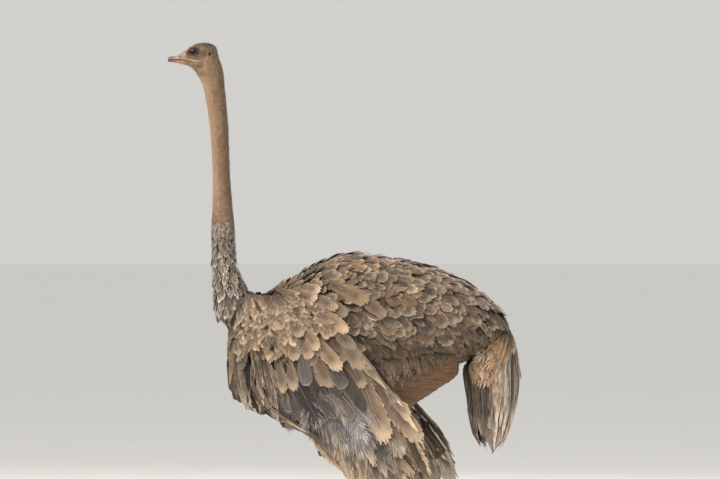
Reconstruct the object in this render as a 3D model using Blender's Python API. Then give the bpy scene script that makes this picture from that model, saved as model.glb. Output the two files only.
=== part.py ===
"""A female ostrich at rest, life size: upright neck, both wings let down, tail plumes hanging.

Metres, +Z up. The bird looks along -Y and its left side is +X. The origin is the bottom centre
of its bounding box. Every solid reaches out to the tips of the plumage. Neighbours are parted by
a thin cut, so that each named part of the body is a closed solid of its own.
"""

import math
from dataclasses import dataclass

import bmesh
import bpy
import numpy as np
from mathutils import Vector

# Driving dimensions ---------------------------------------------------------------------------

CUT = 0.0004  # clearance between two neighbouring parts
SIDES = {"left": 1, "right": -1}

SOLE_LEVEL = 0.0
HOCK_HEIGHT = 0.455
TOE_JOINT_HEIGHT = 0.052
HIP_SPREAD = 0.145  # of each thigh from the middle plane
FOOT_SPREAD = 0.098
FOOT_PLACE = {"left": 0.150, "right": 0.105}  # toe joint along Y: the stance is a little staggered
TOE_SPLAY = math.radians(24)  # of the outer toe from the middle one

EYE_RADIUS = 0.0205
EYE_PLACE = (0.0232, -0.5820, 1.9612)
EAR_PLACE = (0.0325, -0.5200, 1.9550)
EAR_RADII = (0.0055, 0.0080, 0.0075)

NECK_CUTS = (1.600, 1.312)  # heights that part the neck into its three lengths
BILL_ROOT = -0.6135  # along Y, where horn and lips meet the head
THIGH_END = 0.620  # height of the cut between thigh and shank

WING_CUT = 0.55  # share of the wing's drop that its coverts take; the plumes take the rest
WING_SWEEP = {"left": 0.0, "right": 0.105}  # how much further back the plume tips hang
PLUME_LOBES = 5
LOBE_DEPTH = 0.010
TAIL_LOBES = 5
THINNEST_WING = 0.007

# Sections -------------------------------------------------------------------------------------


@dataclass(frozen=True)
class Section:
    """One cross-section of a lofted part: the place of its middle and half its width and depth."""

    y: float
    z: float
    width: float
    depth: float
    x: float = 0.0


def upright(y: float, low: float, high: float, width: float) -> Section:
    """A section across the length of the bird, given by its lowest and highest points."""
    return Section(y, (low + high) / 2, width, (high - low) / 2)


def level(z: float, front: float, back: float, width: float, x: float = 0.0) -> Section:
    """A section across a standing part, given by its foremost and rearmost points."""
    return Section((front + back) / 2, z, width, (back - front) / 2, x)


TRUNK = (
    upright(-0.345, 0.705, 1.035, 0.165),
    upright(-0.225, 0.648, 1.090, 0.224),
    upright(-0.115, 0.630, 1.158, 0.258),
    upright(0.010, 0.632, 1.203, 0.280),
    upright(0.200, 0.668, 1.182, 0.288),
    upright(0.354, 0.722, 1.140, 0.264),
    upright(0.458, 0.768, 1.094, 0.222),
    upright(0.535, 0.800, 1.030, 0.165),
)
BREAST_DOME = 0.095
RUMP_DOME = 0.065

NECK = (
    level(1.925, -0.560, -0.474, 0.024),
    level(1.888, -0.576, -0.465, 0.030),
    level(1.858, -0.554, -0.462, 0.0325),
    level(1.817, -0.542, -0.460, 0.0335),
    level(1.671, -0.519, -0.447, 0.0325),
    level(1.486, -0.509, -0.441, 0.0315),
    level(1.313, -0.512, -0.426, 0.0400),
    level(1.225, -0.5185, -0.4160, 0.0480),
    level(1.136, -0.5215, -0.4000, 0.0580),
    level(1.050, -0.5230, -0.3550, 0.0830),
    level(0.970, -0.5050, -0.2850, 0.1120),
    level(0.900, -0.4600, -0.2300, 0.1200),
)

HEAD = (
    upright(-0.4960, 1.9130, 1.9880, 0.0250),
    upright(-0.5120, 1.8970, 1.9990, 0.0320),
    upright(-0.5320, 1.8860, 2.0055, 0.0370),
    upright(-0.5540, 1.8850, 2.0040, 0.0400),
    upright(-0.5770, 1.8930, 1.9985, 0.0410),
    upright(-0.5960, 1.9035, 1.9890, 0.0345),
    upright(-0.6135, 1.9120, 1.9700, 0.0270),
)
OCCIPUT_DOME = 0.017

BILL_UPPER = (
    upright(-0.6135, 1.9300, 1.9700, 0.0262),
    upright(-0.6300, 1.9312, 1.9620, 0.0235),
    upright(-0.6480, 1.9325, 1.9545, 0.0205),
    upright(-0.6640, 1.9325, 1.9490, 0.0170),
    upright(-0.6740, 1.9300, 1.9440, 0.0125),
)
BILL_LOWER = (
    upright(-0.6135, 1.9120, 1.9296, 0.0255),
    upright(-0.6300, 1.9165, 1.9308, 0.0225),
    upright(-0.6480, 1.9215, 1.9321, 0.0190),
    upright(-0.6640, 1.9245, 1.9318, 0.0150),
    upright(-0.6720, 1.9250, 1.9293, 0.0110),
)
BILL_TIP_DOME = 0.0072

TAIL = (
    Section(0.470, 0.935, 0.105, 0.085),
    Section(0.527, 0.865, 0.130, 0.114),
    Section(0.556, 0.780, 0.148, 0.128),
    Section(0.564, 0.700, 0.152, 0.122),
    Section(0.566, 0.630, 0.150, 0.108),
    Section(0.562, 0.565, 0.140, 0.093),
    Section(0.562, 0.500, 0.122, 0.076),
    Section(0.568, 0.455, 0.092, 0.050),
)
TAIL_TIP_DOME = 0.024
TAIL_LOBE_DEPTH = 0.014

# The leg is drawn with its toe joint at y = 0 and its foot at the spread of the feet.
LEG = (
    level(0.860, -0.220, 0.250, 0.092, HIP_SPREAD),
    level(0.780, -0.228, 0.258, 0.097, HIP_SPREAD),
    level(0.720, -0.220, 0.252, 0.096, HIP_SPREAD),
    level(0.670, -0.190, 0.212, 0.088, HIP_SPREAD),
    level(0.620, -0.125, 0.132, 0.073, HIP_SPREAD - 0.003),
    level(0.570, -0.066, 0.075, 0.054, HIP_SPREAD - 0.008),
    level(0.515, -0.028, 0.056, 0.037, HIP_SPREAD - 0.018),
    level(0.480, -0.014, 0.064, 0.034, HIP_SPREAD - 0.026),
    level(0.450, -0.010, 0.072, 0.036, HIP_SPREAD - 0.032),
    level(0.415, -0.003, 0.064, 0.029, HIP_SPREAD - 0.037),
    level(0.370, 0.003, 0.051, 0.0205, HIP_SPREAD - 0.040),
    level(0.240, -0.005, 0.038, 0.0185, FOOT_SPREAD + 0.003),
    level(0.120, -0.018, 0.026, 0.0215, FOOT_SPREAD),
    level(0.080, -0.026, 0.028, 0.0280, FOOT_SPREAD),
    level(TOE_JOINT_HEIGHT, -0.028, 0.028, 0.0280, FOOT_SPREAD),
)

# Both toes point along -Y from the joint; their low point under the sole level is trimmed flat.
SOLE_TRIM = 0.006
TOE_INNER = (
    upright(0.028, -SOLE_TRIM, TOE_JOINT_HEIGHT - 0.004, 0.0240),
    upright(0.000, -SOLE_TRIM, TOE_JOINT_HEIGHT - CUT, 0.0290),
    upright(-0.045, -SOLE_TRIM, 0.050, 0.0305),
    upright(-0.090, -SOLE_TRIM, 0.043, 0.0300),
    upright(-0.130, -SOLE_TRIM, 0.036, 0.0275),
    upright(-0.155, -SOLE_TRIM, 0.029, 0.0215),
)
TOE_OUTER = (
    upright(0.012, -SOLE_TRIM, 0.036, 0.0150),
    upright(-0.030, -SOLE_TRIM, 0.034, 0.0185),
    upright(-0.070, -SOLE_TRIM, 0.028, 0.0180),
    upright(-0.100, -SOLE_TRIM, 0.021, 0.0140),
)
TOE_TIP_DOME = 0.014
CLAW = (
    upright(-0.148, 0.006, 0.029, 0.0125),
    upright(-0.170, 0.004, 0.025, 0.0105),
    upright(-0.188, 0.003, 0.018, 0.0075),
    upright(-0.200, 0.002, 0.009, 0.0035),
)
CLAW_TIP_DOME = 0.004

# The wing hangs from the shoulder as a curved slab. Each row is one level down its drop:
# front edge (y, z), rear edge (y, z), the two edges' distances out, outward bow, thickness.
WING = (
    (-0.385, 1.035, -0.075, 1.040, 0.070, 0.175, 0.040, 0.070),
    (-0.436, 0.940, 0.020, 0.900, 0.140, 0.272, 0.050, 0.085),
    (-0.452, 0.835, 0.105, 0.785, 0.172, 0.292, 0.052, 0.080),
    (-0.445, 0.735, 0.180, 0.665, 0.200, 0.303, 0.048, 0.064),
    (-0.415, 0.650, 0.250, 0.570, 0.225, 0.312, 0.038, 0.050),
    (-0.365, 0.595, 0.305, 0.460, 0.245, 0.322, 0.026, 0.042),
    (-0.335, 0.588, 0.330, 0.300, 0.255, 0.330, 0.018, 0.032),
)
PLUME_DROP = 0.115  # how far the long hind plumes reach below the straight hem

COLOURS = {  # base colour, roughness
    "bare_skin": ((0.300, 0.200, 0.130), 0.62),
    "plumage": ((0.230, 0.165, 0.115), 0.85),
    "plumes": ((0.290, 0.240, 0.190), 0.88),
    "horn": ((0.180, 0.135, 0.110), 0.40),
    "eye": ((0.030, 0.015, 0.008), 0.05),
    "scutes": ((0.260, 0.190, 0.140), 0.55),
}

# Shape helpers --------------------------------------------------------------------------------


def clear_scene() -> None:
    """Remove every object, so that only the ostrich is left."""
    for obj in list(bpy.data.objects):
        bpy.data.objects.remove(obj, do_unlink=True)


def through(knots: np.ndarray, count: int) -> np.ndarray:
    """Points of a smooth curve through the knots (Catmull-Rom), `count` steps to each stretch."""
    padded = np.vstack([2 * knots[0] - knots[1], knots, 2 * knots[-1] - knots[-2]])
    rows = []
    for before, start, end, after in zip(padded, padded[1:], padded[2:], padded[3:]):
        for step in range(count):
            rows.append(catmull_rom(before, start, end, after, step / count))
    rows.append(knots[-1])
    return np.array(rows)


def catmull_rom(before, start, end, after, t):
    """The point a share t of the way from start to end."""
    return 0.5 * (
        2 * start
        + (end - before) * t
        + (2 * before - 5 * start + 4 * end - after) * t**2
        + (3 * start - before - 3 * end + after) * t**3
    )


def along(rows: np.ndarray, share: float) -> np.ndarray:
    """One row of a table read smoothly a share of the way down it."""
    place = share * (len(rows) - 1)
    first = min(int(place), len(rows) - 2)
    padded = np.vstack([2 * rows[0] - rows[1], rows, 2 * rows[-1] - rows[-2]])
    return catmull_rom(*padded[first : first + 4], place - first)


def smooth_step(low: float, high: float, value: float) -> float:
    """0 below low, 1 above high, with an even slope between them."""
    share = min(max((value - low) / (high - low), 0.0), 1.0)
    return share * share * (3 - 2 * share)


def section_rows(sections, count: int) -> np.ndarray:
    """The sections as rows of x, y, z, width, depth, with smooth ones put between them."""
    knots = np.array([(s.x, s.y, s.z, s.width, s.depth) for s in sections])
    return through(knots, count)


def domed(rows: np.ndarray, length: float, at_start: bool) -> np.ndarray:
    """Rows with a rounded end added: shrinking sections along the way out of the first or last."""
    end, inner = (rows[0], rows[1]) if at_start else (rows[-1], rows[-2])
    out = (end[:3] - inner[:3]) / np.linalg.norm(end[:3] - inner[:3])
    cap = []
    for angle in np.radians((30, 58, 82)):
        row = end.copy()
        row[:3] += out * length * math.sin(angle)
        row[3:5] *= math.cos(angle)
        cap.append(row)
    return np.vstack([cap[::-1], rows]) if at_start else np.vstack([rows, cap])


def ring(row: np.ndarray, deep: Vector, count: int, power: float) -> list:
    """Points round one section. Its depth lies along deep, and power 2 makes it an ellipse."""
    centre = Vector(row[:3])
    points = []
    for step in range(count):
        angle = math.tau * step / count
        cosine, sine = math.cos(angle), math.sin(angle)
        wide = math.copysign(abs(cosine) ** (2 / power), cosine) * row[3]
        tall = math.copysign(abs(sine) ** (2 / power), sine) * row[4]
        points.append(centre + Vector((wide, 0, 0)) + deep * tall)
    return points


def across_path(rows: np.ndarray, index: int) -> Vector:
    """The direction square to the path in the YZ plane, where the path runs through this row."""
    first, last = max(index - 1, 0), min(index + 1, len(rows) - 1)
    way = rows[last][:3] - rows[first][:3]
    return Vector((0, -way[2], way[1])).normalized()


def mesh_object(name: str, points: list, faces: list, look: str):
    """An object with its faces pointing out, shaded smooth, in the named material."""
    mesh = bpy.data.meshes.new(name)
    mesh.from_pydata([tuple(point) for point in points], [], faces)
    shape = bmesh.new()
    shape.from_mesh(mesh)
    bmesh.ops.recalc_face_normals(shape, faces=shape.faces)
    bmesh.ops.triangulate(shape, faces=shape.faces)  # a part and its cutter share their facets
    shape.to_mesh(mesh)
    shape.free()
    mesh.shade_smooth()
    mesh.set_sharp_from_angle(angle=math.radians(50))
    mesh.materials.append(material(name, look))
    obj = bpy.data.objects.new(name, mesh)
    bpy.context.scene.collection.objects.link(obj)
    return obj


def material(name: str, look: str):
    """A Principled material of the look's colour and roughness, for one part."""
    colour, roughness = COLOURS[look]
    made = bpy.data.materials.new(name + "_" + look)
    made.use_nodes = True
    shader = made.node_tree.nodes["Principled BSDF"]
    shader.inputs["Base Color"].default_value = (*colour, 1)
    shader.inputs["Roughness"].default_value = roughness
    shader.inputs["Metallic"].default_value = 0.0
    return made


def loft(name, rows, look, count, deep=None, power=2.0, shift=None):
    """A closed tube through the sections, with flat ends.

    Args:
        name: the object's name.
        rows: sections as x, y, z, width, depth.
        look: name of its material.
        count: points round each section.
        deep: direction of each section's depth, or none to keep it square to the path.
        power: 2 for ellipses, more for squarer sections.
        shift: a function that moves one point, given the point and its angle's share of the turn.
    """
    points, faces = [], []
    for index, row in enumerate(rows):
        loop = ring(row, deep or across_path(rows, index), count, power)
        if shift:
            loop = [shift(index, point, step / count) for step, point in enumerate(loop)]
        points.extend(loop)
    for index in range(len(rows) - 1):
        base = index * count
        for step in range(count):
            after = (step + 1) % count
            near, far = base + step, base + after
            faces.append((near, far, far + count, near + count))
    faces.append(tuple(range(count)))
    faces.append(tuple(range(len(points) - count, len(points))))
    return mesh_object(name, points, faces, look)


def ellipsoid(name, place, radii, look, segments, rings):
    """A closed round body with the given centre and radii."""
    shape = bmesh.new()
    bmesh.ops.create_uvsphere(shape, u_segments=segments, v_segments=rings, radius=1.0)
    points = [
        Vector(place) + Vector(c * r for c, r in zip(vert.co, radii)) for vert in shape.verts
    ]
    faces = [tuple(vert.index for vert in face.verts) for face in shape.faces]
    shape.free()
    return mesh_object(name, points, faces, look)


def cutter_of(obj):
    """A hidden copy of a part, larger all round by the cut, that clears room for it."""
    copy = bpy.data.objects.new("room_for_" + obj.name, obj.data.copy())
    bpy.context.scene.collection.objects.link(copy)
    copy.matrix_world = obj.matrix_world
    shape = bmesh.new()
    shape.from_mesh(copy.data)
    shape.normal_update()
    moved = [vert.co + vert.normal * CUT for vert in shape.verts]
    for vert, point in zip(shape.verts, moved):
        vert.co = point
    shape.to_mesh(copy.data)
    shape.free()
    copy.hide_render = True
    copy.display_type = "WIRE"
    return copy


def clear_room(obj, cutter) -> None:
    """Cut the room of a neighbour out of a part."""
    cut = obj.modifiers.new("clear_" + cutter.name, "BOOLEAN")
    cut.operation = "DIFFERENCE"
    cut.solver = "EXACT"
    cut.object = cutter


def between(rows: np.ndarray, column: int, low: float, high: float) -> np.ndarray:
    """The rows whose value in a column lies between two limits, with one made at each limit."""
    values = rows[:, column]
    order = np.argsort(values)
    inside = rows[(values > low + CUT) & (values < high - CUT)]
    found = [inside]
    for limit in (low, high):
        found.append([np.interp(limit, values[order], rows[order, c]) for c in range(5)])
    found = np.vstack(found)
    return found[np.argsort(found[:, column])]


# Parts ----------------------------------------------------------------------------------------


def make_trunk():
    """Breast, back, flanks and belly in one barrel, to the tips of its feathers."""
    rows = section_rows(TRUNK, 2)
    rows = domed(rows, BREAST_DOME, at_start=True)
    rows = domed(rows, RUMP_DOME, at_start=False)
    return loft("trunk", rows, "plumage", 24, deep=Vector((0, 0, 1)), power=2.25)


def make_neck(trunk_room, head_room):
    """Three lengths of neck, parted by level cuts; returns the cutter of the lowest."""
    rows = section_rows(NECK, 2)
    top, bottom = rows[0][2], rows[-1][2]
    upper_cut, lower_cut = NECK_CUTS
    lengths = {
        "neck_upper": (upper_cut + CUT, top, "bare_skin"),
        "neck_middle": (lower_cut + CUT, upper_cut, "bare_skin"),
        "neck_lower": (bottom, lower_cut, "plumage"),
    }
    made = {}
    for name, (low, high, look) in lengths.items():
        stretch = between(rows, 2, low, high)
        made[name] = loft(name, stretch, look, 14, deep=Vector((0, 1, 0)))
    clear_room(made["neck_upper"], head_room)
    clear_room(made["neck_lower"], trunk_room)
    return cutter_of(made["neck_lower"])


def make_head(rooms):
    """The skull, cheeks and lore, with a socket for each eye and ear."""
    rows = domed(section_rows(HEAD, 2), OCCIPUT_DOME, at_start=True)
    head = loft("head", rows, "bare_skin", 18, deep=Vector((0, 0, 1)), power=2.15)
    for room in rooms:
        clear_room(head, room)
    return head


def make_bill() -> None:
    """The upper and lower halves of the bill, closed on each other."""
    halves = {"bill_upper": BILL_UPPER, "bill_lower": BILL_LOWER}
    for name, sections in halves.items():
        rows = section_rows(sections, 1)
        rows[:, 1] -= CUT
        rows = domed(rows, BILL_TIP_DOME, at_start=False)
        loft(name, rows, "horn", 12, deep=Vector((0, 0, 1)), power=2.3)


def make_tail(trunk_room) -> None:
    """The bunch of plumes that hangs from the rump."""
    rows = domed(section_rows(TAIL, 2), TAIL_TIP_DOME, at_start=False)
    last = len(rows) - 1

    def lobed(index, point, turn):
        """Let the tips end unevenly round the bunch."""
        drop = smooth_step(last - 6, last, index) * TAIL_LOBE_DEPTH
        return point - Vector((0, 0, drop * math.cos(math.tau * TAIL_LOBES * turn)))

    tail = loft("tail", rows, "plumes", 20, shift=lobed)
    clear_room(tail, trunk_room)


def wing_point(side: str, share: float, drop: float, outer: bool) -> Vector:
    """One point of the wing's outer or inner face.

    Args:
        side: left or right.
        share: 0 at the front edge to 1 at the rear edge.
        drop: 0 at the shoulder to 1 at the hem.
        outer: whether the point is on the face away from the body.
    """
    row = along(np.array(WING), drop)
    front_y, front_z, rear_y, rear_z, front_x, rear_x, bow, thickness = row
    arch = 4 * share * (1 - share)
    y = front_y + (rear_y - front_y) * share + WING_SWEEP[side] * smooth_step(0.3, 1.0, drop)
    z = front_z + (rear_z - front_z) * share
    long_plumes = smooth_step(0.28, 0.55, share) * (1 - smooth_step(0.72, 1.0, share))
    z -= PLUME_DROP * long_plumes * drop**3
    z -= LOBE_DEPTH * math.cos(math.tau * PLUME_LOBES * share) * drop**6
    edge = math.sqrt(arch) * (1 - 0.45 * smooth_step(0.9, 1.0, drop))
    half = max(thickness * edge, THINNEST_WING) / 2
    x = front_x + (rear_x - front_x) * share + bow * arch + (half if outer else -half)
    return Vector((SIDES[side] * x, y, z))


def wing_slab(name, side, start, end, steps, look):
    """The closed slab of the wing between two levels of its drop."""
    columns = 14
    shares = [0.5 - 0.5 * math.cos(math.pi * step / columns) for step in range(columns + 1)]
    drops = [start + (end - start) * step / steps for step in range(steps + 1)]
    outer = [[wing_point(side, share, drop, True) for share in shares] for drop in drops]
    inner = [[wing_point(side, share, drop, False) for share in shares] for drop in drops]
    points = [point for sheet in (outer, inner) for line in sheet for point in line]
    wide, inside = columns + 1, (columns + 1) * (steps + 1)
    faces = []
    for down in range(steps):
        for step in range(columns):
            corner = down * wide + step
            faces.append((corner, corner + 1, corner + wide + 1, corner + wide))
            corner += inside
            faces.append((corner, corner + wide, corner + wide + 1, corner + 1))
        for corner in (down * wide, down * wide + columns):
            faces.append((corner, corner + wide, corner + wide + inside, corner + inside))
    for step in range(columns):
        for corner in (step, steps * wide + step):
            faces.append((corner, corner + 1, corner + 1 + inside, corner + inside))
    return mesh_object(name, points, faces, look)


def make_wing(side: str, rooms) -> None:
    """Arm with its coverts, and below them the long quills and plumes."""
    drop_length = WING[0][1] - WING[-1][1]
    parted = WING_CUT + CUT / drop_length
    coverts = wing_slab("wing_" + side, side, 0.0, WING_CUT, 6, "plumage")
    plumes = wing_slab("wing_plumes_" + side, side, parted, 1.0, 5, "plumes")
    for room in rooms:
        clear_room(coverts, room)
        clear_room(plumes, room)


def mirrored(rows: np.ndarray, side: str, forward: float) -> np.ndarray:
    """Rows moved to one side of the bird and along it."""
    moved = rows.copy()
    moved[:, 0] *= SIDES[side]
    moved[:, 1] += forward
    return moved


def make_leg(side: str, trunk_room):
    """Thigh, shank with the hock, and tarsus; returns the cutter of the thigh."""
    rows = mirrored(section_rows(LEG, 2), side, FOOT_PLACE[side])
    top, bottom = rows[0][2], rows[-1][2]
    lengths = {
        "thigh_": (THIGH_END + CUT, top, 16, "bare_skin"),
        "shank_": (HOCK_HEIGHT + CUT, THIGH_END, 14, "bare_skin"),
        "tarsus_": (bottom, HOCK_HEIGHT, 10, "scutes"),
    }
    made = {}
    for stem, (low, high, count, look) in lengths.items():
        stretch = between(rows, 2, low, high)
        made[stem] = loft(stem + side, stretch, look, count, deep=Vector((0, 1, 0)))
    thigh_room = cutter_of(made["thigh_"])
    clear_room(made["thigh_"], trunk_room)
    return thigh_room


def toe(name, sections, side, splay, place, tip):
    """One toe with its sole trimmed flat to stand on."""
    rows = domed(section_rows(sections, 1), tip, at_start=False)
    rows = domed(rows, tip, at_start=True)

    def trimmed(_index, point, _turn):
        """Keep the toe on or above the sole level."""
        return Vector((point.x, point.y, max(point.z, SOLE_LEVEL)))

    made = loft(name, rows, "scutes", 12, deep=Vector((0, 0, 1)), power=2.3, shift=trimmed)
    made.location = place
    made.rotation_euler.z = splay * SIDES[side]
    bpy.context.view_layer.update()
    return made


def make_foot(side: str) -> None:
    """The two toes, and the claw of the inner one."""
    place = Vector((SIDES[side] * FOOT_SPREAD, FOOT_PLACE[side], 0))
    inner = toe("toe_inner_" + side, TOE_INNER, side, 0.0, place, TOE_TIP_DOME)
    beside = place + Vector((SIDES[side] * 0.024, 0.004, 0))
    outer = toe("toe_outer_" + side, TOE_OUTER, side, TOE_SPLAY, beside, TOE_TIP_DOME)
    rows = domed(section_rows(CLAW, 1), CLAW_TIP_DOME, at_start=False)
    claw = loft("claw_" + side, rows, "horn", 10, deep=Vector((0, 0, 1)))
    claw.location = place
    bpy.context.view_layer.update()
    inner_room = cutter_of(inner)
    clear_room(outer, inner_room)
    clear_room(claw, inner_room)


def make_eyes_and_ears() -> list:
    """Both eyes and the two small ear patches; returns the cutters of their sockets."""
    rooms = []
    for side, sign in SIDES.items():
        place = (sign * EYE_PLACE[0], EYE_PLACE[1], EYE_PLACE[2])
        eye = ellipsoid("eye_" + side, place, (EYE_RADIUS,) * 3, "eye", 12, 8)
        place = (sign * EAR_PLACE[0], EAR_PLACE[1], EAR_PLACE[2])
        ear = ellipsoid("ear_" + side, place, EAR_RADII, "bare_skin", 8, 5)
        rooms.extend((cutter_of(eye), cutter_of(ear)))
    return rooms


def evaluated_bounds():
    """Lowest and highest corners of all the parts, with their cuts made."""
    bpy.context.view_layer.update()
    graph = bpy.context.evaluated_depsgraph_get()
    corners = []
    for obj in bpy.context.scene.objects:
        if obj.type != "MESH" or obj.hide_render:
            continue
        shown = obj.evaluated_get(graph)
        mesh = shown.to_mesh()
        places = np.array([shown.matrix_world @ vert.co for vert in mesh.vertices])
        corners.extend((places.min(axis=0), places.max(axis=0)))
        shown.to_mesh_clear()
    return np.min(corners, axis=0), np.max(corners, axis=0)


def set_origin() -> None:
    """Put the origin at the bottom centre of the bounding box."""
    low, high = evaluated_bounds()
    stand = bpy.data.objects.new("ostrich", None)
    bpy.context.scene.collection.objects.link(stand)
    for obj in bpy.context.scene.objects:
        if obj.type == "MESH":
            obj.parent = stand
    stand.location = (-(low[0] + high[0]) / 2, -(low[1] + high[1]) / 2, -low[2])
    bpy.context.view_layer.update()


def main() -> None:
    """Build the bird from the trunk outwards."""
    clear_scene()
    trunk = make_trunk()
    trunk_room = cutter_of(trunk)
    head = make_head(make_eyes_and_ears())
    make_bill()
    neck_room = make_neck(trunk_room, cutter_of(head))
    make_tail(trunk_room)
    for side in SIDES:
        thigh_room = make_leg(side, trunk_room)
        make_foot(side)
        make_wing(side, (trunk_room, neck_room, thigh_room))
    set_origin()


main()
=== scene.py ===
"""Looks of the ostrich: one skin, its plumage, and the horn and eyes that show through it.

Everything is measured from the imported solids. They reach out to the tips of the plumage, so the skin
is drawn inside them by the depth of the coat, and each feather is planted on it and reaches their
surface. The bird looks along -Y and its left side is +X. Lengths are metres.
"""

from __future__ import annotations

import functools
import logging
import math
from contextlib import contextmanager
from dataclasses import astuple, dataclass, field
from enum import Enum
from typing import Callable, Iterator, Sequence

import bmesh
import bpy
import numpy as np
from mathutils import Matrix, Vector
from mathutils.bvhtree import BVHTree


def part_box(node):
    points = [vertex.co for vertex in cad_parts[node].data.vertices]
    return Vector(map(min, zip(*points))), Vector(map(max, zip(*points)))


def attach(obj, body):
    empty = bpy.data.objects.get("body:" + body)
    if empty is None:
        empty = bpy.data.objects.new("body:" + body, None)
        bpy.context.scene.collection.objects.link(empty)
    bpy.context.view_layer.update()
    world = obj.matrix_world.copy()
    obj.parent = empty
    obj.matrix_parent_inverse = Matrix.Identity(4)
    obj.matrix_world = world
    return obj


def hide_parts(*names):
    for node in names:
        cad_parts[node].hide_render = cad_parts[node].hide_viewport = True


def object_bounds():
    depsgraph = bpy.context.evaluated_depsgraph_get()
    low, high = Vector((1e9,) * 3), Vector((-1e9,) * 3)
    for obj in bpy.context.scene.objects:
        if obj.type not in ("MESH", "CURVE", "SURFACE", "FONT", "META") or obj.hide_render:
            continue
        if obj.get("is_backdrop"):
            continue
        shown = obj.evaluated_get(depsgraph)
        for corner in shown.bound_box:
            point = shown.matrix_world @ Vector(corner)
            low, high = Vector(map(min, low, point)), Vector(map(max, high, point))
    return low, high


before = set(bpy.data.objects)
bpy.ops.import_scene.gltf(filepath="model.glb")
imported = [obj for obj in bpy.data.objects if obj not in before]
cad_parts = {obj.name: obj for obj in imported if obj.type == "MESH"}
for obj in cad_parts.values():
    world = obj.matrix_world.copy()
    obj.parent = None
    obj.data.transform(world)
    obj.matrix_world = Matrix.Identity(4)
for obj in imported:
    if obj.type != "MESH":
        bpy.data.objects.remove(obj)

LOG = logging.getLogger("ostrich")
BODY = "root"
BAKE_MAP = "OFBake"
BAKE_PATCH = 0.003
SIDES = {"left": 1.0, "right": -1.0}
ACROSS = np.array([1.0, 0.0, 0.0])
BACK = np.array([0.0, 1.0, 0.0])
DOWN = np.array([0.0, 0.0, -1.0])
MARKS = ("crease", "horny", "warm", "lids")  # numbers that every part of the hide carries

Colour = tuple[float, float, float]
Array = np.ndarray
Thing = bpy.types.Object
Material = bpy.types.Material
Rng = np.random.Generator


class Axis(Enum):
    """The axis that a sleeve runs along, with the two directions that lie across it."""

    LENGTH = (1, (0, 2))
    HEIGHT = (2, (0, 1))


# Small maths -----------------------------------------------------------------------------------


def unit(vectors: Array) -> Array:
    """The vectors at length one."""
    return vectors / np.maximum(np.linalg.norm(vectors, axis=-1, keepdims=True), 1e-9)


def ramp(low: float, high: float, values: Array | float) -> Array:
    """0 below low and 1 above high, with an even slope between them."""
    share = np.clip((np.asarray(values, float) - low) / (high - low), 0.0, 1.0)
    return share * share * (3 - 2 * share)


def bell(distance: Array, width: float) -> Array:
    """A smooth bump: 1 at no distance, fading out at about twice the width."""
    return np.exp(-((distance / width) ** 2))


def circle(count: int) -> tuple[Array, Array]:
    """Cosines and sines of even turns."""
    turns = math.tau * np.arange(count) / count
    return np.cos(turns), np.sin(turns)


def powered(values: Array, power: float) -> Array:
    """The values raised to a power, with their signs kept."""
    return np.sign(values) * np.abs(values) ** power


def blurred(table: Array, passes: int, wrap: bool) -> Array:
    """The table smoothed down its rows, and also round its columns where they close on themselves.

    Args:
        table: the values.
        passes: how many times to smooth.
        wrap: true if the columns close on themselves.

    Returns:
        The smoothed values.
    """
    for _ in range(passes):
        padded = np.concatenate([table[:1], table, table[-1:]])
        table = 0.25 * padded[:-2] + 0.5 * table + 0.25 * padded[2:]
        if wrap:
            table = 0.25 * np.roll(table, 1, 1) + 0.5 * table + 0.25 * np.roll(table, -1, 1)
    return table


def blurred_both(table: Array, passes: int) -> Array:
    """The table smoothed both ways, without wrapping."""
    for _ in range(passes):
        table = blurred(blurred(table, 1, wrap=False).T, 1, wrap=False).T
    return table


def interpolated(table: Array, row: Array, column: Array, fr: Array, fc: Array, beside: Array) -> Array:
    """The table's values between the numbered rows and columns, by the shares left over."""
    top = table[row, column] * (1 - fc) + table[row, beside] * fc
    low = table[row + 1, column] * (1 - fc) + table[row + 1, beside] * fc
    return top * (1 - fr) + low * fr


def grid_faces(rows: int, columns: int) -> Array:
    """Quads of a grid of points that is closed round its columns."""
    down, step = np.meshgrid(np.arange(rows - 1), np.arange(columns), indexing="ij")
    near, far = down * columns + step, down * columns + (step + 1) % columns
    return np.stack([near, far, far + columns, near + columns], -1).reshape(-1, 4)


def grid_outward(points: Array) -> Array:
    """Normals of rings of points, facing away from their middles."""
    around = np.roll(points, -1, 1) - np.roll(points, 1, 1)
    found = unit(np.cross(np.gradient(points, axis=0), around))
    return found * np.sign((found * (points - points.mean(1, keepdims=True))).sum())


def domed(rings: Array, dome: float = 0.5, size: Callable[[Array], float] = np.min) -> Array:
    """Rings with both ends rounded off, by a share of each end's size.

    Args:
        rings: rows of points, one row for each ring.
        dome: the height of each rounding, as a share of the end's size.
        size: takes an end's radii and gives its one size.

    Returns:
        All the rings, with the added ones at both ends.
    """
    rings = list(rings)
    for at_start in (True, False):
        end, inner = (rings[0], rings[1]) if at_start else (rings[-1], rings[-2])
        middle = end.mean(0)
        out = unit(middle - inner.mean(0))
        length = dome * size(np.linalg.norm(end - middle, axis=1))
        for angle in np.radians((30, 55, 75, 87)):
            ring = middle + (end - middle) * math.cos(angle) + out * length * math.sin(angle)
            rings = [ring, *rings] if at_start else [*rings, ring]
    return np.array(rings)


def curve_through(knots: Array, count: int) -> Array:
    """Evenly spread points of a smooth curve through the knots (Catmull-Rom).

    Args:
        knots: the points to pass through.
        count: how many points to give.

    Returns:
        The points, one to a row.
    """
    padded = np.vstack([2 * knots[0] - knots[1], knots, 2 * knots[-1] - knots[-2]])
    place = np.linspace(0, len(knots) - 1, count)
    first = np.minimum(place.astype(int), len(knots) - 2)
    t = (place - first)[:, None]
    a, b, c, d = (padded[first + step] for step in range(4))
    return 0.5 * (2 * b + (c - a) * t + (2 * a - 5 * b + 4 * c - d) * t**2 + (3 * b - a - 3 * c + d) * t**3)


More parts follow.
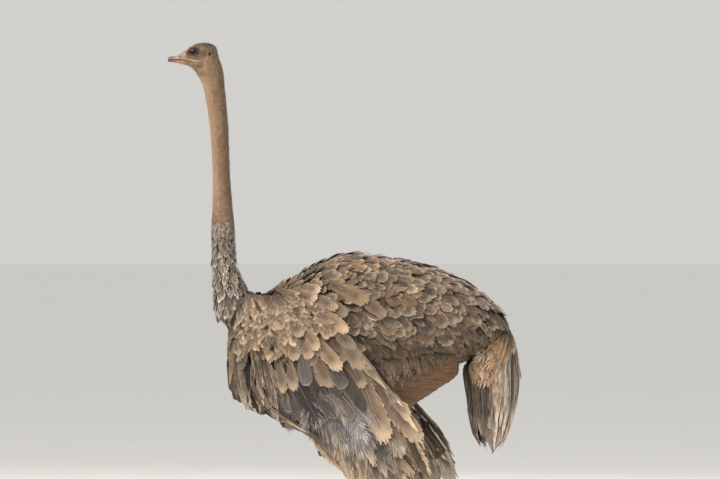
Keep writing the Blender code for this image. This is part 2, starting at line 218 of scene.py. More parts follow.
def varied(rng: Rng, count: int, mean: float | Array, spread: float, most: float = 1.0) -> Array:
    """Numbers spread about a mean, held between 0 and the most."""
    return np.clip(mean + spread * rng.normal(size=count), 0, most)


# Mesh making -----------------------------------------------------------------------------------


def linked(name: str, mesh: bpy.types.Mesh) -> Thing:
    """The mesh as an object of the scene."""
    made = bpy.data.objects.new(name, mesh)
    bpy.context.scene.collection.objects.link(made)
    return made


@contextmanager
def edited(mesh: bpy.types.Mesh) -> Iterator[bmesh.types.BMesh]:
    """The mesh opened for editing, and written back afterwards.

    Args:
        mesh: the mesh to edit.

    Yields:
        The editable copy of the mesh.
    """
    shape = bmesh.new()
    shape.from_mesh(mesh)
    yield shape
    shape.to_mesh(mesh)
    shape.free()


def new_object(name: str, points: Array, quads: Array, triangles: Array | None = None) -> Thing:
    """A smooth mesh object from arrays.

    Args:
        name: the object's name.
        points: its vertices, one row each.
        quads: four vertex numbers to a row.
        triangles: three vertex numbers to a row, or none.

    Returns:
        The object, linked to the scene.
    """
    triangles = np.zeros((0, 3), int) if triangles is None else triangles
    corners = np.concatenate([quads.ravel(), triangles.ravel()]).astype(np.int32)
    sizes = np.concatenate([np.full(len(quads), 4), np.full(len(triangles), 3)])
    mesh = bpy.data.meshes.new(name)
    mesh.vertices.add(len(points))
    mesh.vertices.foreach_set("co", np.asarray(points, np.float32).ravel())
    mesh.loops.add(len(corners))
    mesh.loops.foreach_set("vertex_index", corners)
    mesh.polygons.add(len(sizes))
    mesh.polygons.foreach_set("loop_start", (np.cumsum(sizes) - sizes).astype(np.int32))
    mesh.update(calc_edges=True)
    mesh.shade_smooth()
    return linked(name, mesh)


def tube_object(name: str, rings: Array) -> Thing:
    """A closed mesh from rings of points, with a point at the middle of each end.

    Args:
        name: the name of the new object.
        rings: rows of points, one row for each ring.

    Returns:
        The new object.
    """
    count, around = rings.shape[:2]
    points = np.concatenate([rings.reshape(-1, 3), rings[:1].mean(1), rings[-1:].mean(1)])
    step = np.arange(around)
    after = (step + 1) % around
    first, base = np.full(around, count * around), (count - 1) * around
    ends = ((after, step, first), (base + step, base + after, first + 1))
    caps = np.concatenate([np.stack(end, -1) for end in ends])
    made = new_object(name, points, grid_faces(count, around), caps)
    with edited(made.data) as shape:
        bmesh.ops.recalc_face_normals(shape, faces=shape.faces)
    return made


def swept(
    name: str, path: Array, widths: Array, depths: Array, around: int,
    side: Array = ACROSS, power: float = 2.0,
) -> Thing:
    """A closed tube of oval sections along a path.

    Args:
        name: the object's name.
        path: centres of the sections.
        widths: half sizes along side.
        depths: half sizes square to side and to the path.
        around: points in each ring.
        side: the direction of the widths.
        power: 2 for ovals, more for squarer sections.

    Returns:
        The tube.
    """
    ways = unit(np.gradient(path, axis=0))
    across = unit(side - ways * (ways @ side)[:, None])
    deep = np.cross(ways, across)
    wide, tall = (powered(part, 2 / power) for part in circle(around))
    over = across[:, None] * (widths[:, None] * wide)[..., None]
    return tube_object(name, path[:, None] + over + deep[:, None] * (depths[:, None] * tall)[..., None])


def ball(centre: Sequence[float], radii: Sequence[float]) -> Thing:
    """A closed rounded lump to be fused into the skin, from its centre and half sizes.

    Args:
        centre: the lump's middle.
        radii: its half sizes.

    Returns:
        The lump.
    """
    mesh = bpy.data.meshes.new("lump")
    with edited(mesh) as shape:
        bmesh.ops.create_icosphere(shape, subdivisions=5, radius=1.0)
        for vertex in shape.verts:
            vertex.co = Vector(c + r * v for c, r, v in zip(centre, radii, vertex.co))
    return linked("lump", mesh)


def read_items(items: Sequence[object], name: str, width: int = 1, kind: type = np.float32) -> Array:
    """One property of many mesh items: a plain row of numbers, or one row to an item."""
    found = np.empty(len(items) * width, kind)
    items.foreach_get(name, found)
    return found.reshape(-1, width) if width > 1 else found


def points_of(thing: Thing) -> Array:
    """The object's vertices, one row each."""
    return read_items(thing.data.vertices, "co", 3).astype(float)


def normals_of(thing: Thing) -> Array:
    """The object's vertex normals, one row each."""
    return read_items(thing.data.vertex_normals, "vector", 3).astype(float)


def read_values(thing: Thing, name: str) -> Array:
    """One stored number for each vertex."""
    return read_items(thing.data.attributes[name].data, "value").astype(float)


def move_points(thing: Thing, points: Array) -> None:
    """Give the object's vertices new places."""
    thing.data.vertices.foreach_set("co", points.astype(np.float32).ravel())
    thing.data.update()


def give_values(thing: Thing, **marks: Array | float) -> None:
    """Store one number for each vertex under each name, for the finishes to read.

    Args:
        thing: the object that carries them.
        **marks: values for the vertices, by name.
    """
    for name, values in marks.items():
        layer = thing.data.attributes.get(name) or thing.data.attributes.new(name, "FLOAT", "POINT")
        full = np.asarray(values, np.float32) * np.ones(len(thing.data.vertices), np.float32)
        layer.data.foreach_set("value", full)


def give_map(thing: Thing, name: str, places: Array) -> None:
    """A UV map from one place for each vertex."""
    corners = read_items(thing.data.loops, "vertex_index", kind=np.int32)
    layer = thing.data.uv_layers.new(name=name)
    layer.uv.foreach_set("vector", places[corners].astype(np.float32).ravel())


def drop(thing: Thing) -> None:
    """Remove an object and its mesh."""
    mesh = thing.data
    bpy.data.objects.remove(thing, do_unlink=True)
    bpy.data.meshes.remove(mesh)


def apply_modifiers(thing: Thing) -> None:
    """Replace the object's mesh by what its modifiers make of it.

    Args:
        thing: the object to work on.
    """
    graph = bpy.context.evaluated_depsgraph_get()
    graph.update()
    spent = thing.data
    made = bpy.data.meshes.new_from_object(thing.evaluated_get(graph))
    thing.modifiers.clear()
    thing.data = made
    bpy.data.meshes.remove(spent)


def add_modifier(thing: Thing, kind: str, **settings: object) -> None:
    """Add a modifier and set its properties."""
    made = thing.modifiers.new(kind.lower(), kind)
    for key, value in settings.items():
        setattr(made, key, value)


def joined(name: str, things: Sequence[Thing]) -> Thing:
    """One object that holds the meshes of several, which are removed.

    Args:
        name: the name of the new object.
        things: the objects to join.

    Returns:
        The joined object.
    """
    mesh = bpy.data.meshes.new(name)
    with edited(mesh) as shape:
        for thing in things:
            shape.from_mesh(thing.data)
            drop(thing)
    return linked(name, mesh)


def remeshed(thing: Thing, voxel: float, passes: int) -> Thing:
    """Fuse overlapping closed shells into one even skin, and smooth it.

    Args:
        thing: the object to work on.
        voxel: the size of the cells.
        passes: how many times to smooth.

    Returns:
        The same object.
    """
    add_modifier(thing, "REMESH", mode="VOXEL", voxel_size=voxel, adaptivity=0.0)
    add_modifier(thing, "SMOOTH", factor=0.5, iterations=passes)
    apply_modifiers(thing)
    return thing


def united(thing: Thing, others: Sequence[Thing]) -> None:
    """Unite closed shells with the object, one after another, into one closed surface.

    Args:
        thing: the object to work on.
        others: the shells to unite with it.
    """
    for other in others:
        add_modifier(thing, "BOOLEAN", operation="UNION", solver="MANIFOLD", object=other)
        apply_modifiers(thing)
        drop(other)


def dressed(thing: Thing, material: Material) -> Thing:
    """Give the object one finish."""
    thing.data.materials.clear()
    thing.data.materials.append(material)
    return thing


def enrolled(piece: Thing, slot: str, *nodes: str) -> Thing:
    """Attach a piece to the body, in place of the nodes that it stands for.

    Args:
        piece: the piece.
        slot: the finish slot that it belongs to; not used.
        *nodes: the solid nodes that it stands for.

    Returns:
        The same piece.
    """
    if nodes:
        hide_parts(*nodes)
    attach(piece, BODY)
    return piece


# Measuring the solids --------------------------------------------------------------------------


def box_of(node: str) -> tuple[Array, Array]:
    """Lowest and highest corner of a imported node."""
    low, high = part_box(node)
    return np.array(low), np.array(high)


class Solid:
    """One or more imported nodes, to be measured by slices and rays."""

    SEAM = 0.0009  # a little over the gap between neighbours

    def __init__(self, *nodes: str) -> None:
        """Read the meshes of the nodes.

        Args:
            *nodes: names of solid nodes.
        """
        points, faces = [], []
        count = 0
        for node in nodes:
            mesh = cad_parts[node].data
            mesh.calc_loop_triangles()
            points.append(points_of(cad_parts[node]))
            faces.extend(tuple(count + v for v in face.vertices) for face in mesh.loop_triangles)
            count += len(points[-1])
        self.points, self.faces = np.concatenate(points), np.array(faces)
        self.tree = BVHTree.FromPolygons([tuple(p) for p in self.points], faces)

    def slice(self, axis: int, value: float) -> tuple[Array, Array]:
        """Lowest and highest corner of the section square to an axis at a value.

        Args:
            axis: the number of the axis, 0 to 2.
            value: where the plane meets it.

        Returns:
            The two corners.
        """
        ends = self.points[self.faces]
        starts, stops = ends.reshape(-1, 3), np.roll(ends, -1, 1).reshape(-1, 3)
        for nudge in (0.0, self.SEAM, -self.SEAM):
            crossing = (starts[:, axis] - value - nudge) * (stops[:, axis] - value - nudge) < 0
            if crossing.any():
                break
        starts, stops = starts[crossing], stops[crossing]
        share = (value + nudge - starts[:, axis]) / (stops[:, axis] - starts[:, axis])
        found = starts + (stops - starts) * share[:, None]
        return found.min(0), found.max(0)

    def slices(self, axis: int, values: Array) -> Array:
        """The corners of several sections, six numbers to a row."""
        return np.array([np.concatenate(self.slice(axis, value)) for value in values])

    def hit(self, origin: Array, way: Array) -> Array | None:
        """Where a ray first meets the solid, or none."""
        place = self.tree.ray_cast(Vector(origin), Vector(way))[0]
        return None if place is None else np.array(place)

    def reach(self, origin: Array, way: Array, most: float) -> float:
        """How far out along a ray the solid's furthest surface lies."""
        place = self.hit(origin + way * most, -way)
        return 0.0 if place is None else max(most - (place - origin - way * most).dot(-way), 0.0)


class InnerSolid(Solid):
    """A wing whose inner face is looked at from the body's middle plane."""

    def __init__(self, solid: Solid) -> None:
        """Share the wing's measured faces."""
        self.points, self.faces, self.tree = solid.points, solid.faces, solid.tree

    def hit(self, origin: Array, way: Array) -> Array | None:
        """Where a ray from the middle plane first meets the wing."""
        return super().hit(np.array([0.0, origin[1], origin[2]]), way)


class Sleeve:
    """A smooth closed tube drawn round a stretch of the solids, and the ground for its feathers."""

    REACH = 0.6
    THINNEST = 0.004

    def __init__(
        self, solid: Solid, axis: Axis, start: float, end: float, rings: int, around: int,
        depth: Callable[[Array], Array] | float, blur: int = 2,
    ) -> None:
        """Measure the stretch and draw the rings.

        Args:
            solid: the nodes that the sleeve follows.
            axis: which way it runs.
            start: the first ring's place along the axis.
            end: the last ring's place.
            rings: how many rings are measured.
            around: points in each ring.
            depth: how far inside the solids it lies, fixed or by the points' places.
            blur: smoothing passes.
        """
        self.index, (self.first, self.second) = axis.value
        self.start, self.end = start, end
        stations = np.linspace(start, end, rings)
        centres = np.array([np.mean(solid.slice(self.index, value), axis=0) for value in stations])
        centres[:, self.index] = stations
        centres = blurred(centres, blur, wrap=False)
        centres[:, self.index] = stations
        ways = np.zeros((around, 3))
        ways[:, self.first], ways[:, self.second] = circle(around)
        along = np.eye(3)[self.index] * solid.SEAM
        rows = []
        for centre in centres:
            row = [solid.reach(centre, way, self.REACH) for way in ways]
            if max(row) < solid.SEAM:
                row = [solid.reach(centre + along, way, self.REACH) for way in ways]
            rows.append(row)
        radii = blurred(np.array(rows), blur, wrap=True)
        self.centres = centres
        self.hull = centres[:, None] + radii[..., None] * ways
        inside = depth(self.hull) if callable(depth) else depth
        self.skin = centres[:, None] + np.maximum(radii - inside, self.THINNEST)[..., None] * ways
        self.outward = grid_outward(self.skin)

    def read(self, table: Array, down: Array, turn: Array) -> Array:
        """Values of a table at shares of the way down the sleeve and round it.

        Args:
            table: the values.
            down: shares of the way down.
            turn: shares of the way round.

        Returns:
            One value, or one row, for each place.
        """
        rows, columns = table.shape[:2]
        row, column = np.clip(down, 0, 1) * (rows - 1), (turn % 1.0) * columns
        r0, c0 = np.minimum(row.astype(int), rows - 2), column.astype(int) % columns
        fr, fc = (row - r0)[:, None], (column - column.astype(int))[:, None]
        return interpolated(table, r0, c0, fr, fc, (c0 + 1) % columns)

    def shell(self, name: str, dome: float = 0.5) -> Thing:
        """The skin of the sleeve as a closed mesh with rounded ends."""
        return tube_object(name, domed(self.skin, dome, np.mean))

    def middle(self, down: Array) -> Array:
        """The sleeve's middle at shares down it."""
        stations = np.linspace(0, 1, len(self.centres))
        return np.stack([np.interp(down, stations, self.centres[:, axis]) for axis in range(3)], -1)

    def locate(self, places: Array) -> tuple[Array, Array]:
        """Shares down and round the sleeve of places near it."""
        down = (places[:, self.index] - self.start) / (self.end - self.start)
        away = places - self.middle(down)
        return down, np.arctan2(away[:, self.second], away[:, self.first]) / math.tau

    def ground(self, down: Array, turn: Array) -> tuple[Array, Array, Array]:
        """Skin, outline and outward direction at shares down and round."""
        skin, hull, out = (self.read(table, down, turn) for table in (self.skin, self.hull, self.outward))
        return skin, hull, unit(out)

    def cells(self, row: float, beside: float, rng: Rng, jitter: float = 0.32) -> Array:
        """Staggered shares down and round the sleeve, at a spacing in metres each way."""
        girths = np.linalg.norm(np.roll(self.skin, -1, 1) - self.skin, axis=-1).sum(1)
        return spread_out(row, beside, abs(self.end - self.start), girths, rng, jitter)

    def courses(
        self, down: Array, turn: Array, lies: Array, lengths: Array, fill: Array, hang: float,
        bends: int = 5, pressed: float = 0.06,
    ) -> tuple[Array, Array]:
        """Shafts that rise from the skin, meet the outline at their tips and bend back along it.

        Args:
            down: roots' shares down the sleeve.
            turn: roots' shares round it.
            lies: the way that each feather lies.
            lengths: their lengths.
            fill: share of the coat's depth that the tips reach.
            hang: how much each droops by its tip.
            bends: stretches of each shaft.
            pressed: how steeply the tips still stand away from the outline.

        Returns:
            Points of the shafts, and the outward direction at each.
        """
        roots, _, out = self.ground(down, turn)
        lies = unit(lies - out * (lies * out).sum(-1, keepdims=True))
        skin, hull, after = self.ground(*self.locate(roots + lies * lengths[:, None]))
        curve = np.arcsin(np.clip((after * lies).sum(-1), -0.5, 0.85))
        depth = np.linalg.norm(hull - skin, axis=1) * fill
        first = np.clip(2 * depth / lengths - pressed, -0.2, 0.75)
        bend = first + curve - pressed
        share = (np.arange(bends) + 0.5) / bends
        angle = first[:, None] - bend[:, None] * share
        ways = lies[:, None] * np.cos(angle)[..., None] + out[:, None] * np.sin(angle)[..., None]
        ways = unit(ways + DOWN * (hang * np.ones(len(roots)))[:, None, None] * share[:, None])
        ends = first[:, None] - bend[:, None] * np.linspace(0, 1, bends + 1)
        outward = out[:, None] * np.cos(ends)[..., None] - lies[:, None] * np.sin(ends)[..., None]
        return shafts(roots, ways, lengths), outward


class Relief:
    """One face of the solids, seen square on, as a smooth height over the two other axes."""

    STEP = 0.010
    FAR = 1.5
    STEEPEST = 1.2

    def __init__(self, solid: Solid, axis: int, way: float, blur: int = 3) -> None:
        """Measure the face.

        Args:
            solid: the nodes.
            axis: the axis along which heights are taken.
            way: 1 for the face towards the axis's positive end, -1 for the other.
            blur: smoothing passes.
        """
        self.axis, self.way = axis, way
        self.across = [other for other in range(3) if other != axis]
        low, high = solid.points.min(0)[self.across], solid.points.max(0)[self.across]
        self.low = low
        shape = np.ceil((high - low) / self.STEP).astype(int) + 1
        table = np.full(shape, np.nan)
        ray = np.zeros(3)
        ray[axis] = -way
        for cell in np.ndindex(*shape):
            origin = np.zeros(3)
            origin[self.across] = self.low + np.array(cell) * self.STEP
            origin[axis] = way * self.FAR
            found = solid.hit(origin, ray)
            if found is not None:
                table[cell] = found[axis] * way
        self.mask = blurred_both(np.isfinite(table).astype(float), 1)
        steps = [(i, j) for i in range(3) for j in range(3)]
        while not np.isfinite(table).all():
            padded = np.pad(table, 1, constant_values=np.nan)
            near = np.stack([padded[i : i + shape[0], j : j + shape[1]] for i, j in steps])
            known = np.isfinite(near).sum(0)
            mean = np.nansum(near, 0) / np.maximum(known, 1)
            table = np.where(np.isfinite(table), table, np.where(known > 0, mean, np.nan))
        self.table = blurred_both(table, blur)
        self.slopes = np.gradient(self.table, self.STEP)

    def read(self, table: Array, places: Array) -> Array:
        """A table's value at places given over the two axes.

        Args:
            table: the values.
            places: the places to look at.

        Returns:
            One value for each place.
        """
        grid = (places - self.low) / self.STEP
        i, j = (np.clip(grid[..., side], 0, table.shape[side] - 1.001) for side in range(2))
        a, b = i.astype(int), j.astype(int)
        return interpolated(table, a, b, i - a, j - b, b + 1)

    def inside(self, places: Array) -> Array:
        """Whether places lie within the face's outline.

        Args:
            places: the places to look at.

        Returns:
            True or false for each place.
        """
        grid = (places - self.low) / self.STEP
        limit = np.array(self.table.shape) - 1
        within = ((grid >= -0.3) & (grid <= limit + 0.3)).all(-1)
        return within & (self.read(self.mask, places) > 0.42)

    def in_space(self, across: Sequence[Array], height: Array | float) -> Array:
        """Vectors from their parts along the two axes and along the face's own.

        Args:
            across: parts along each of the two axes.
            height: parts along the face's own direction.

        Returns:
            One vector to a row.
        """
        found = np.zeros((*across[0].shape, 3))
        found[..., self.across[0]], found[..., self.across[1]] = across
        found[..., self.axis] = height
        return found

    def lifted(self, places: Array, depth: Array) -> Array:
        """The places in space, at a depth under the face."""
        height = (self.read(self.table, places) - depth) * self.way
        return self.in_space((places[..., 0], places[..., 1]), height)

    def outward(self, places: Array) -> Array:
        """The way out of the face at places on it."""
        steep = self.STEEPEST
        leans = [-np.clip(self.read(slope, places), -steep, steep) for slope in self.slopes]
        return unit(self.in_space(leans, self.way))

    def courses(
        self, roots: Array, flow: Callable[[Array], Array], lengths: Array, root_depth: float,
        tip_depth: Array, bends: int = 6, stray: Array | float = 0.0,
    ) -> tuple[Array, Array, Array]:
        """Shafts that follow a flow over the face and rise to it.

        Args:
            roots: places of the roots, over the two axes.
            flow: the way to go at any place.
            lengths: the feathers' lengths, cut short where they would leave the face.
            root_depth: how deep the roots lie.
            tip_depth: how deep each tip lies.
            bends: stretches of each shaft.
            stray: how far each turns off the flow, in radians.

        Returns:
            Points of the shafts, the outward direction at each, and the lengths that fit.
        """
        cos, sin = np.cos(stray), np.sin(stray)

        def walk(reach: Array) -> Array:
            """The shafts over the face, for these lengths."""
            places = [roots]
            for _ in range(bends):
                way = flow(places[-1])
                way = np.stack([way[:, 0] * cos - way[:, 1] * sin, way[:, 0] * sin + way[:, 1] * cos], -1)
                places.append(places[-1] + way * (reach / bends)[:, None])
            return np.stack(places, 1)

        for _ in range(3):
            out = ~self.inside(walk(lengths))
            first_out = np.where(out.any(1), out.argmax(1), bends + 1)
            room = np.where(first_out > bends, 1.0, (first_out - 0.35) / bends)
            lengths = lengths * np.clip(room, 0.02, 1.0)
        path = walk(lengths)
        ease = 1 - (1 - np.linspace(0, 1, bends + 1)) ** 1.7
        depth = root_depth + (tip_depth - root_depth)[:, None] * ease
        return self.lifted(path, depth), self.outward(path), lengths


# Feathers --------------------------------------------------------------------------------------


@dataclass(frozen=True)
class Vane:
    """One feather laid out flat: x in half widths, y along the shaft from 0 to 1, z up."""

    points: Array
    quads: Array
    edge: Array
    barbs: Array


@dataclass(frozen=True)
class FeatherCut:
    """How one kind of feather is cut out.

    Barbs are drawn in clumps that part towards the rim, as an ostrich's barbs don't hook together.
    """

    clumps: int  # on each side of the shaft
    steps: int  # quads along each clump
    slim: float  # half width over length
    widest: float  # share of the way to the tip
    roundness: float  # 2 for a round tip, near 1 for a pointed one
    angle: float  # degrees between barbs and shaft
    ragged: float  # spread of the clumps' lengths
    parting: float  # how much of each clump's width is lost at its end
    camber: float  # how far the rims bend down
    lift: float  # how unevenly the clumps stand
    fullness: float = 1.0  # share of the rim that the clumps cover
    blunt: float = 0.75  # width of a clump's end over its middle
    shaft: float = 0.035  # half width of the shaft

    def outline(self, place: Array) -> Array:
        """Half width of the feather, as a share of its most, along the shaft."""
        rise = np.clip(place / self.widest, 0, 1) ** 0.6
        fall = np.clip((place - self.widest) / (1 - self.widest), 0, 1)
        return rise * (1 - fall**self.roundness) ** (1 / self.roundness)

    def tips(self) -> tuple[Array, Array]:
        """Where the clumps end, evenly spread along the rim.

        Returns:
            The tips' places across and along the feather.
        """
        fine = np.linspace(0.12, 1.0, 300)
        wide = self.outline(fine)
        run = np.concatenate([[0], np.cumsum(np.hypot(np.diff(wide) * self.slim, np.diff(fine)))])
        chosen = np.linspace(0.0, run[-1], self.clumps)
        return np.interp(chosen, run, wide), np.interp(chosen, run, fine)

    def cut(self, rng: Rng) -> Vane:
        """Cut one feather, with its own unevenness.

        Args:
            rng: the source of random draws.

        Returns:
            The outline, as strips of points with their marks.
        """
        wide, high = self.tips()
        gap = self.slim * wide / math.tan(math.radians(self.angle))
        least = 0.10 + 0.16 * ramp(0.80, 1.0, high)
        roots = np.clip(np.minimum(high - gap, high - least), 0.015, 0.97)
        shares = np.linspace(0, 1, self.steps + 1)
        spread = 0.62 * self.fullness / self.clumps * (1 - self.parting * shares) if self.clumps else 0.0
        spread = spread * np.where(shares > 0.99, self.blunt, 1.0)
        points, quads, edge, barbs = [], [], [], []

        def strip(rows: Sequence[tuple]) -> None:
            """Add a strip of quads, from rows of centre, half width, height, edge, barb and place along."""
            start = len(points)
            for row, (centre, over, level, rim, barb, along) in enumerate(rows):
                for hand in (-1.0, 1.0):
                    points.append((*(centre + over * hand), level))
                    edge.append(rim)
                    barbs.append((barb + 0.5 * hand, along))
                if row:
                    near = start + 2 * row - 2
                    quads.append((near, near + 1, near + 3, near + 2))

        for side in (-1.0, 1.0):
            for index in range(self.clumps):
                grown = 1 + self.ragged * rng.normal()
                reach = high[index] - roots[index]
                end = np.array([side * wide[index] * grown, roots[index] + reach * grown])
                end += rng.normal(size=2) * (0.03, 0.008)
                root = np.array([0.0, roots[index]])
                bend = np.array([0.62 * end[0], root[1] + 0.30 * (end[1] - root[1])])
                s = shares[:, None]
                line = (1 - s) ** 2 * root + 2 * s * (1 - s) * bend + s**2 * end
                away = np.gradient(line * (self.slim, 1.0), axis=0)
                square = unit(np.stack([-away[:, 1], away[:, 0]], -1)) * (1 / self.slim, 1.0)
                stand = self.lift * rng.normal() * shares - self.camber * line[:, 0] ** 2
                barb = np.full(len(shares), index + 0.5 + self.clumps * (side > 0))
                strip(list(zip(line, square * spread[:, None], stand, shares, barb, shares)))
        along = np.linspace(0, 0.985, 6 if self.clumps else 4)
        half = self.shaft * (1 - 0.8 * along)
        strip([(np.array([0.0, y]), np.array([x, 0.0]), 0.018, -1.0, 0.5, y) for x, y in zip(half, along)])
        return Vane(*(np.array(part) for part in (points, quads, edge, barbs)))


class Cut(Enum):
    """The cuts of feather that the bird wears."""

    SCALE = FeatherCut(12, 3, 0.22, 0.66, 2.4, 30, 0.045, 0.22, 0.22, 0.012, 1.10, 0.50)
    FINE = FeatherCut(9, 3, 0.16, 0.52, 1.6, 18, 0.110, 0.55, 0.10, 0.060, 0.55, 0.25)
    COVERT = FeatherCut(20, 3, 0.20, 0.68, 2.6, 32, 0.022, 0.10, 0.24, 0.006, 1.15, 0.75)
    BROAD = FeatherCut(30, 4, 0.17, 0.66, 2.6, 30, 0.050, 0.24, 0.26, 0.010, 1.10, 0.60)
    QUILL = FeatherCut(30, 4, 0.13, 0.70, 2.6, 30, 0.014, 0.06, 0.22, 0.004, 1.20, 0.85)
    PLUME = FeatherCut(32, 4, 0.12, 0.60, 1.9, 22, 0.070, 0.30, 0.16, 0.014, 0.95, 0.30)
    LOCK = FeatherCut(15, 5, 0.060, 0.50, 1.7, 9, 0.090, 0.30, 0.35, 0.020, 0.85, 0.25)
    WISP = FeatherCut(24, 4, 0.30, 0.55, 1.6, 40, 0.260, 0.55, 0.30, 0.220, 0.42, 0.30)
    HAIR = FeatherCut(0, 0, 0.05, 0.50, 2.0, 10, 0.0, 0.0, 0.0, 0.0, shaft=1.0)

    def vanes(self, rng: Rng, count: int = 7) -> list[Vane]:
        """Several unlike feathers of this cut."""
        return [self.value.cut(rng) for _ in range(count)]


@dataclass
class Planting:
    """Places and courses for many feathers: one row to a feather, then one to a bend of its shaft."""

    paths: Array  # feathers, bends, 3
    outward: Array  # feathers, bends, 3
    widths: Array
    spots: Array  # each root's place on the skin's unwrap
    marks: dict[str, Array]

    def chosen(self, which: Array) -> Planting:
        """Only some of the feathers."""
        taken = (table[which] for table in (self.paths, self.outward, self.widths, self.spots))
        return Planting(*taken, {name: values[which] for name, values in self.marks.items()})

    def grown(self, vane: Vane, roll: Array, limp: float) -> Array:
        """The points of one vane on each of the shafts.

        Args:
            vane: the feather laid out flat.
            roll: how far each turns about its shaft, in radians.
            limp: how far the barbs' ends hang down, in half widths.

        Returns:
            Points, one row to a feather and then one to a point of the vane.
        """
        ways = unit(np.gradient(self.paths, axis=1))
        side = unit(np.cross(ways, self.outward))
        over = np.cross(side, ways)
        cos, sin = np.cos(roll)[:, None, None], np.sin(roll)[:, None, None]
        side, over = side * cos + over * sin, over * cos - side * sin
        bends = self.paths.shape[1] - 1
        place = np.clip(vane.points[:, 1], 0, 1.06) * bends
        first = np.minimum(place.astype(int), bends - 1)
        part = (place - first)[None, :, None]
        path, side, over = (
            table[:, first] * (1 - part) + table[:, first + 1] * part for table in (self.paths, side, over)
        )
        half = self.widths[:, None, None] / 2
        x, z = vane.points[None, :, 0, None], vane.points[None, :, 2, None]
        hang = np.clip(vane.edge, 0, 1)[None, :, None] ** 2
        return path + side * x * half + over * z * half + DOWN * limp * half * hang


def shafts(roots: Array, ways: Array, lengths: Array) -> Array:
    """Points of shafts from their roots, the way that each stretch goes, and their lengths."""
    steps = ways * (lengths / ways.shape[1])[:, None, None]
    return np.concatenate([roots[:, None], roots[:, None] + np.cumsum(steps, 1)], 1)


def short_courses(
    roots: Array, lies: Array, outward: Array, lengths: Array, rise: Array | float, hang: float,
    bends: int = 5,
) -> tuple[Array, Array]:
    """Courses of feathers that rise from the skin and bend back along it.

    Args:
        roots: their places on the skin.
        lies: the way the coat lies there.
        outward: the skin's normals there.
        lengths: their lengths.
        rise: tangent of the angle that each leaves the skin at.
        hang: how much each bends down by its tip.
        bends: stretches of each shaft.

    Returns:
        Points of the shafts, and the outward direction at each.
    """
    share = (np.arange(bends) + 0.5) / bends
    lies = unit(lies - outward * (lies * outward).sum(-1, keepdims=True))
    tilt = (rise * np.ones(len(roots)))[:, None] * (1 - 1.7 * share)
    ways = lies[:, None] + outward[:, None] * tilt[..., None]
    ways = unit(ways + DOWN * (hang * share)[None, :, None])
    return shafts(roots, ways, lengths), np.repeat(outward[:, None], bends + 1, 1)


def plant(name: str, vanes: Sequence[Vane], planting: Planting, rng: Rng, limp: float) -> Thing:
    """Grow feathers along their courses as one coat piece.

    Args:
        name: the piece's name.
        vanes: the cuts to choose among.
        planting: where each feather goes.
        rng: the source of the choices.
        limp: how far the barbs' ends hang down, in half widths.

    Returns:
        The coat piece, with its bake map, barb map and marks.
    """
    choice = rng.integers(len(vanes), size=len(planting.paths))
    roll = rng.normal(0, 0.16, len(planting.paths))
    points, quads, barbs, bakes = [], [], [], []
    marks: dict[str, list[Array]] = {key: [] for key in ("edge", "along", *planting.marks)}
    count = 0
    for number, vane in enumerate(vanes):
        which = np.flatnonzero(choice == number)
        own, size = planting.chosen(which), len(vane.points)
        points.append(own.grown(vane, roll[which], limp).reshape(-1, 3))
        offsets = count + size * np.arange(len(which))
        quads.append((vane.quads[None] + offsets[:, None, None]).reshape(-1, 4))
        count += size * len(which)
        barbs.append(np.tile(vane.barbs, (len(which), 1)))
        patch = (vane.points[:, :2] * (0.5, 1.0) - (0.0, 0.5)) * BAKE_PATCH
        bakes.append((own.spots[:, None] + patch[None]).reshape(-1, 2))
        marks["edge"].append(np.tile(vane.edge, len(which)))
        marks["along"].append(np.tile(vane.points[:, 1], len(which)))
        for key, values in own.marks.items():
            marks[key].append(np.repeat(values, size))
    piece = new_object(name, np.concatenate(points), np.concatenate(quads))
    give_values(piece, **{key: np.concatenate(values) for key, values in marks.items()})
    give_map(piece, BAKE_MAP, np.clip(np.concatenate(bakes), 0, 1))
    give_map(piece, "Barbs", np.concatenate(barbs))
    return piece


def spread_out(
    down_m: float, round_m: float, rows_m: float, rounds_m: Array | float, rng: Rng, jitter: float
) -> Array:
    """Staggered, uneven shares of a sheet, about one to each cell.

    Args:
        down_m: metres between rows.
        round_m: metres between neighbours in a row.
        rows_m: the sheet's length.
        rounds_m: its width, fixed or one for each row read evenly down it.
        rng: the source of the unevenness.
        jitter: how far each strays, in spacings.

    Returns:
        Shares down and across, one row each.
    """
    rows = max(int(rows_m / down_m), 2)
    known = np.atleast_1d(rounds_m)
    widths = np.interp(np.linspace(0, 1, rows), np.linspace(0, 1, len(known)), known)
    found = []
    for row, width in enumerate(widths):
        across = max(int(width / round_m), 3)
        shares = (np.arange(across) + 0.5 * (row % 2) + 0.25) / across
        shares = shares + rng.uniform(-jitter, jitter, across) / across
        down = (row + 0.5 + rng.uniform(-jitter, jitter, across)) / rows
        found.append(np.stack([down, shares], -1))
    return np.concatenate(found)


# Finishes --------------------------------------------------------------------------------------


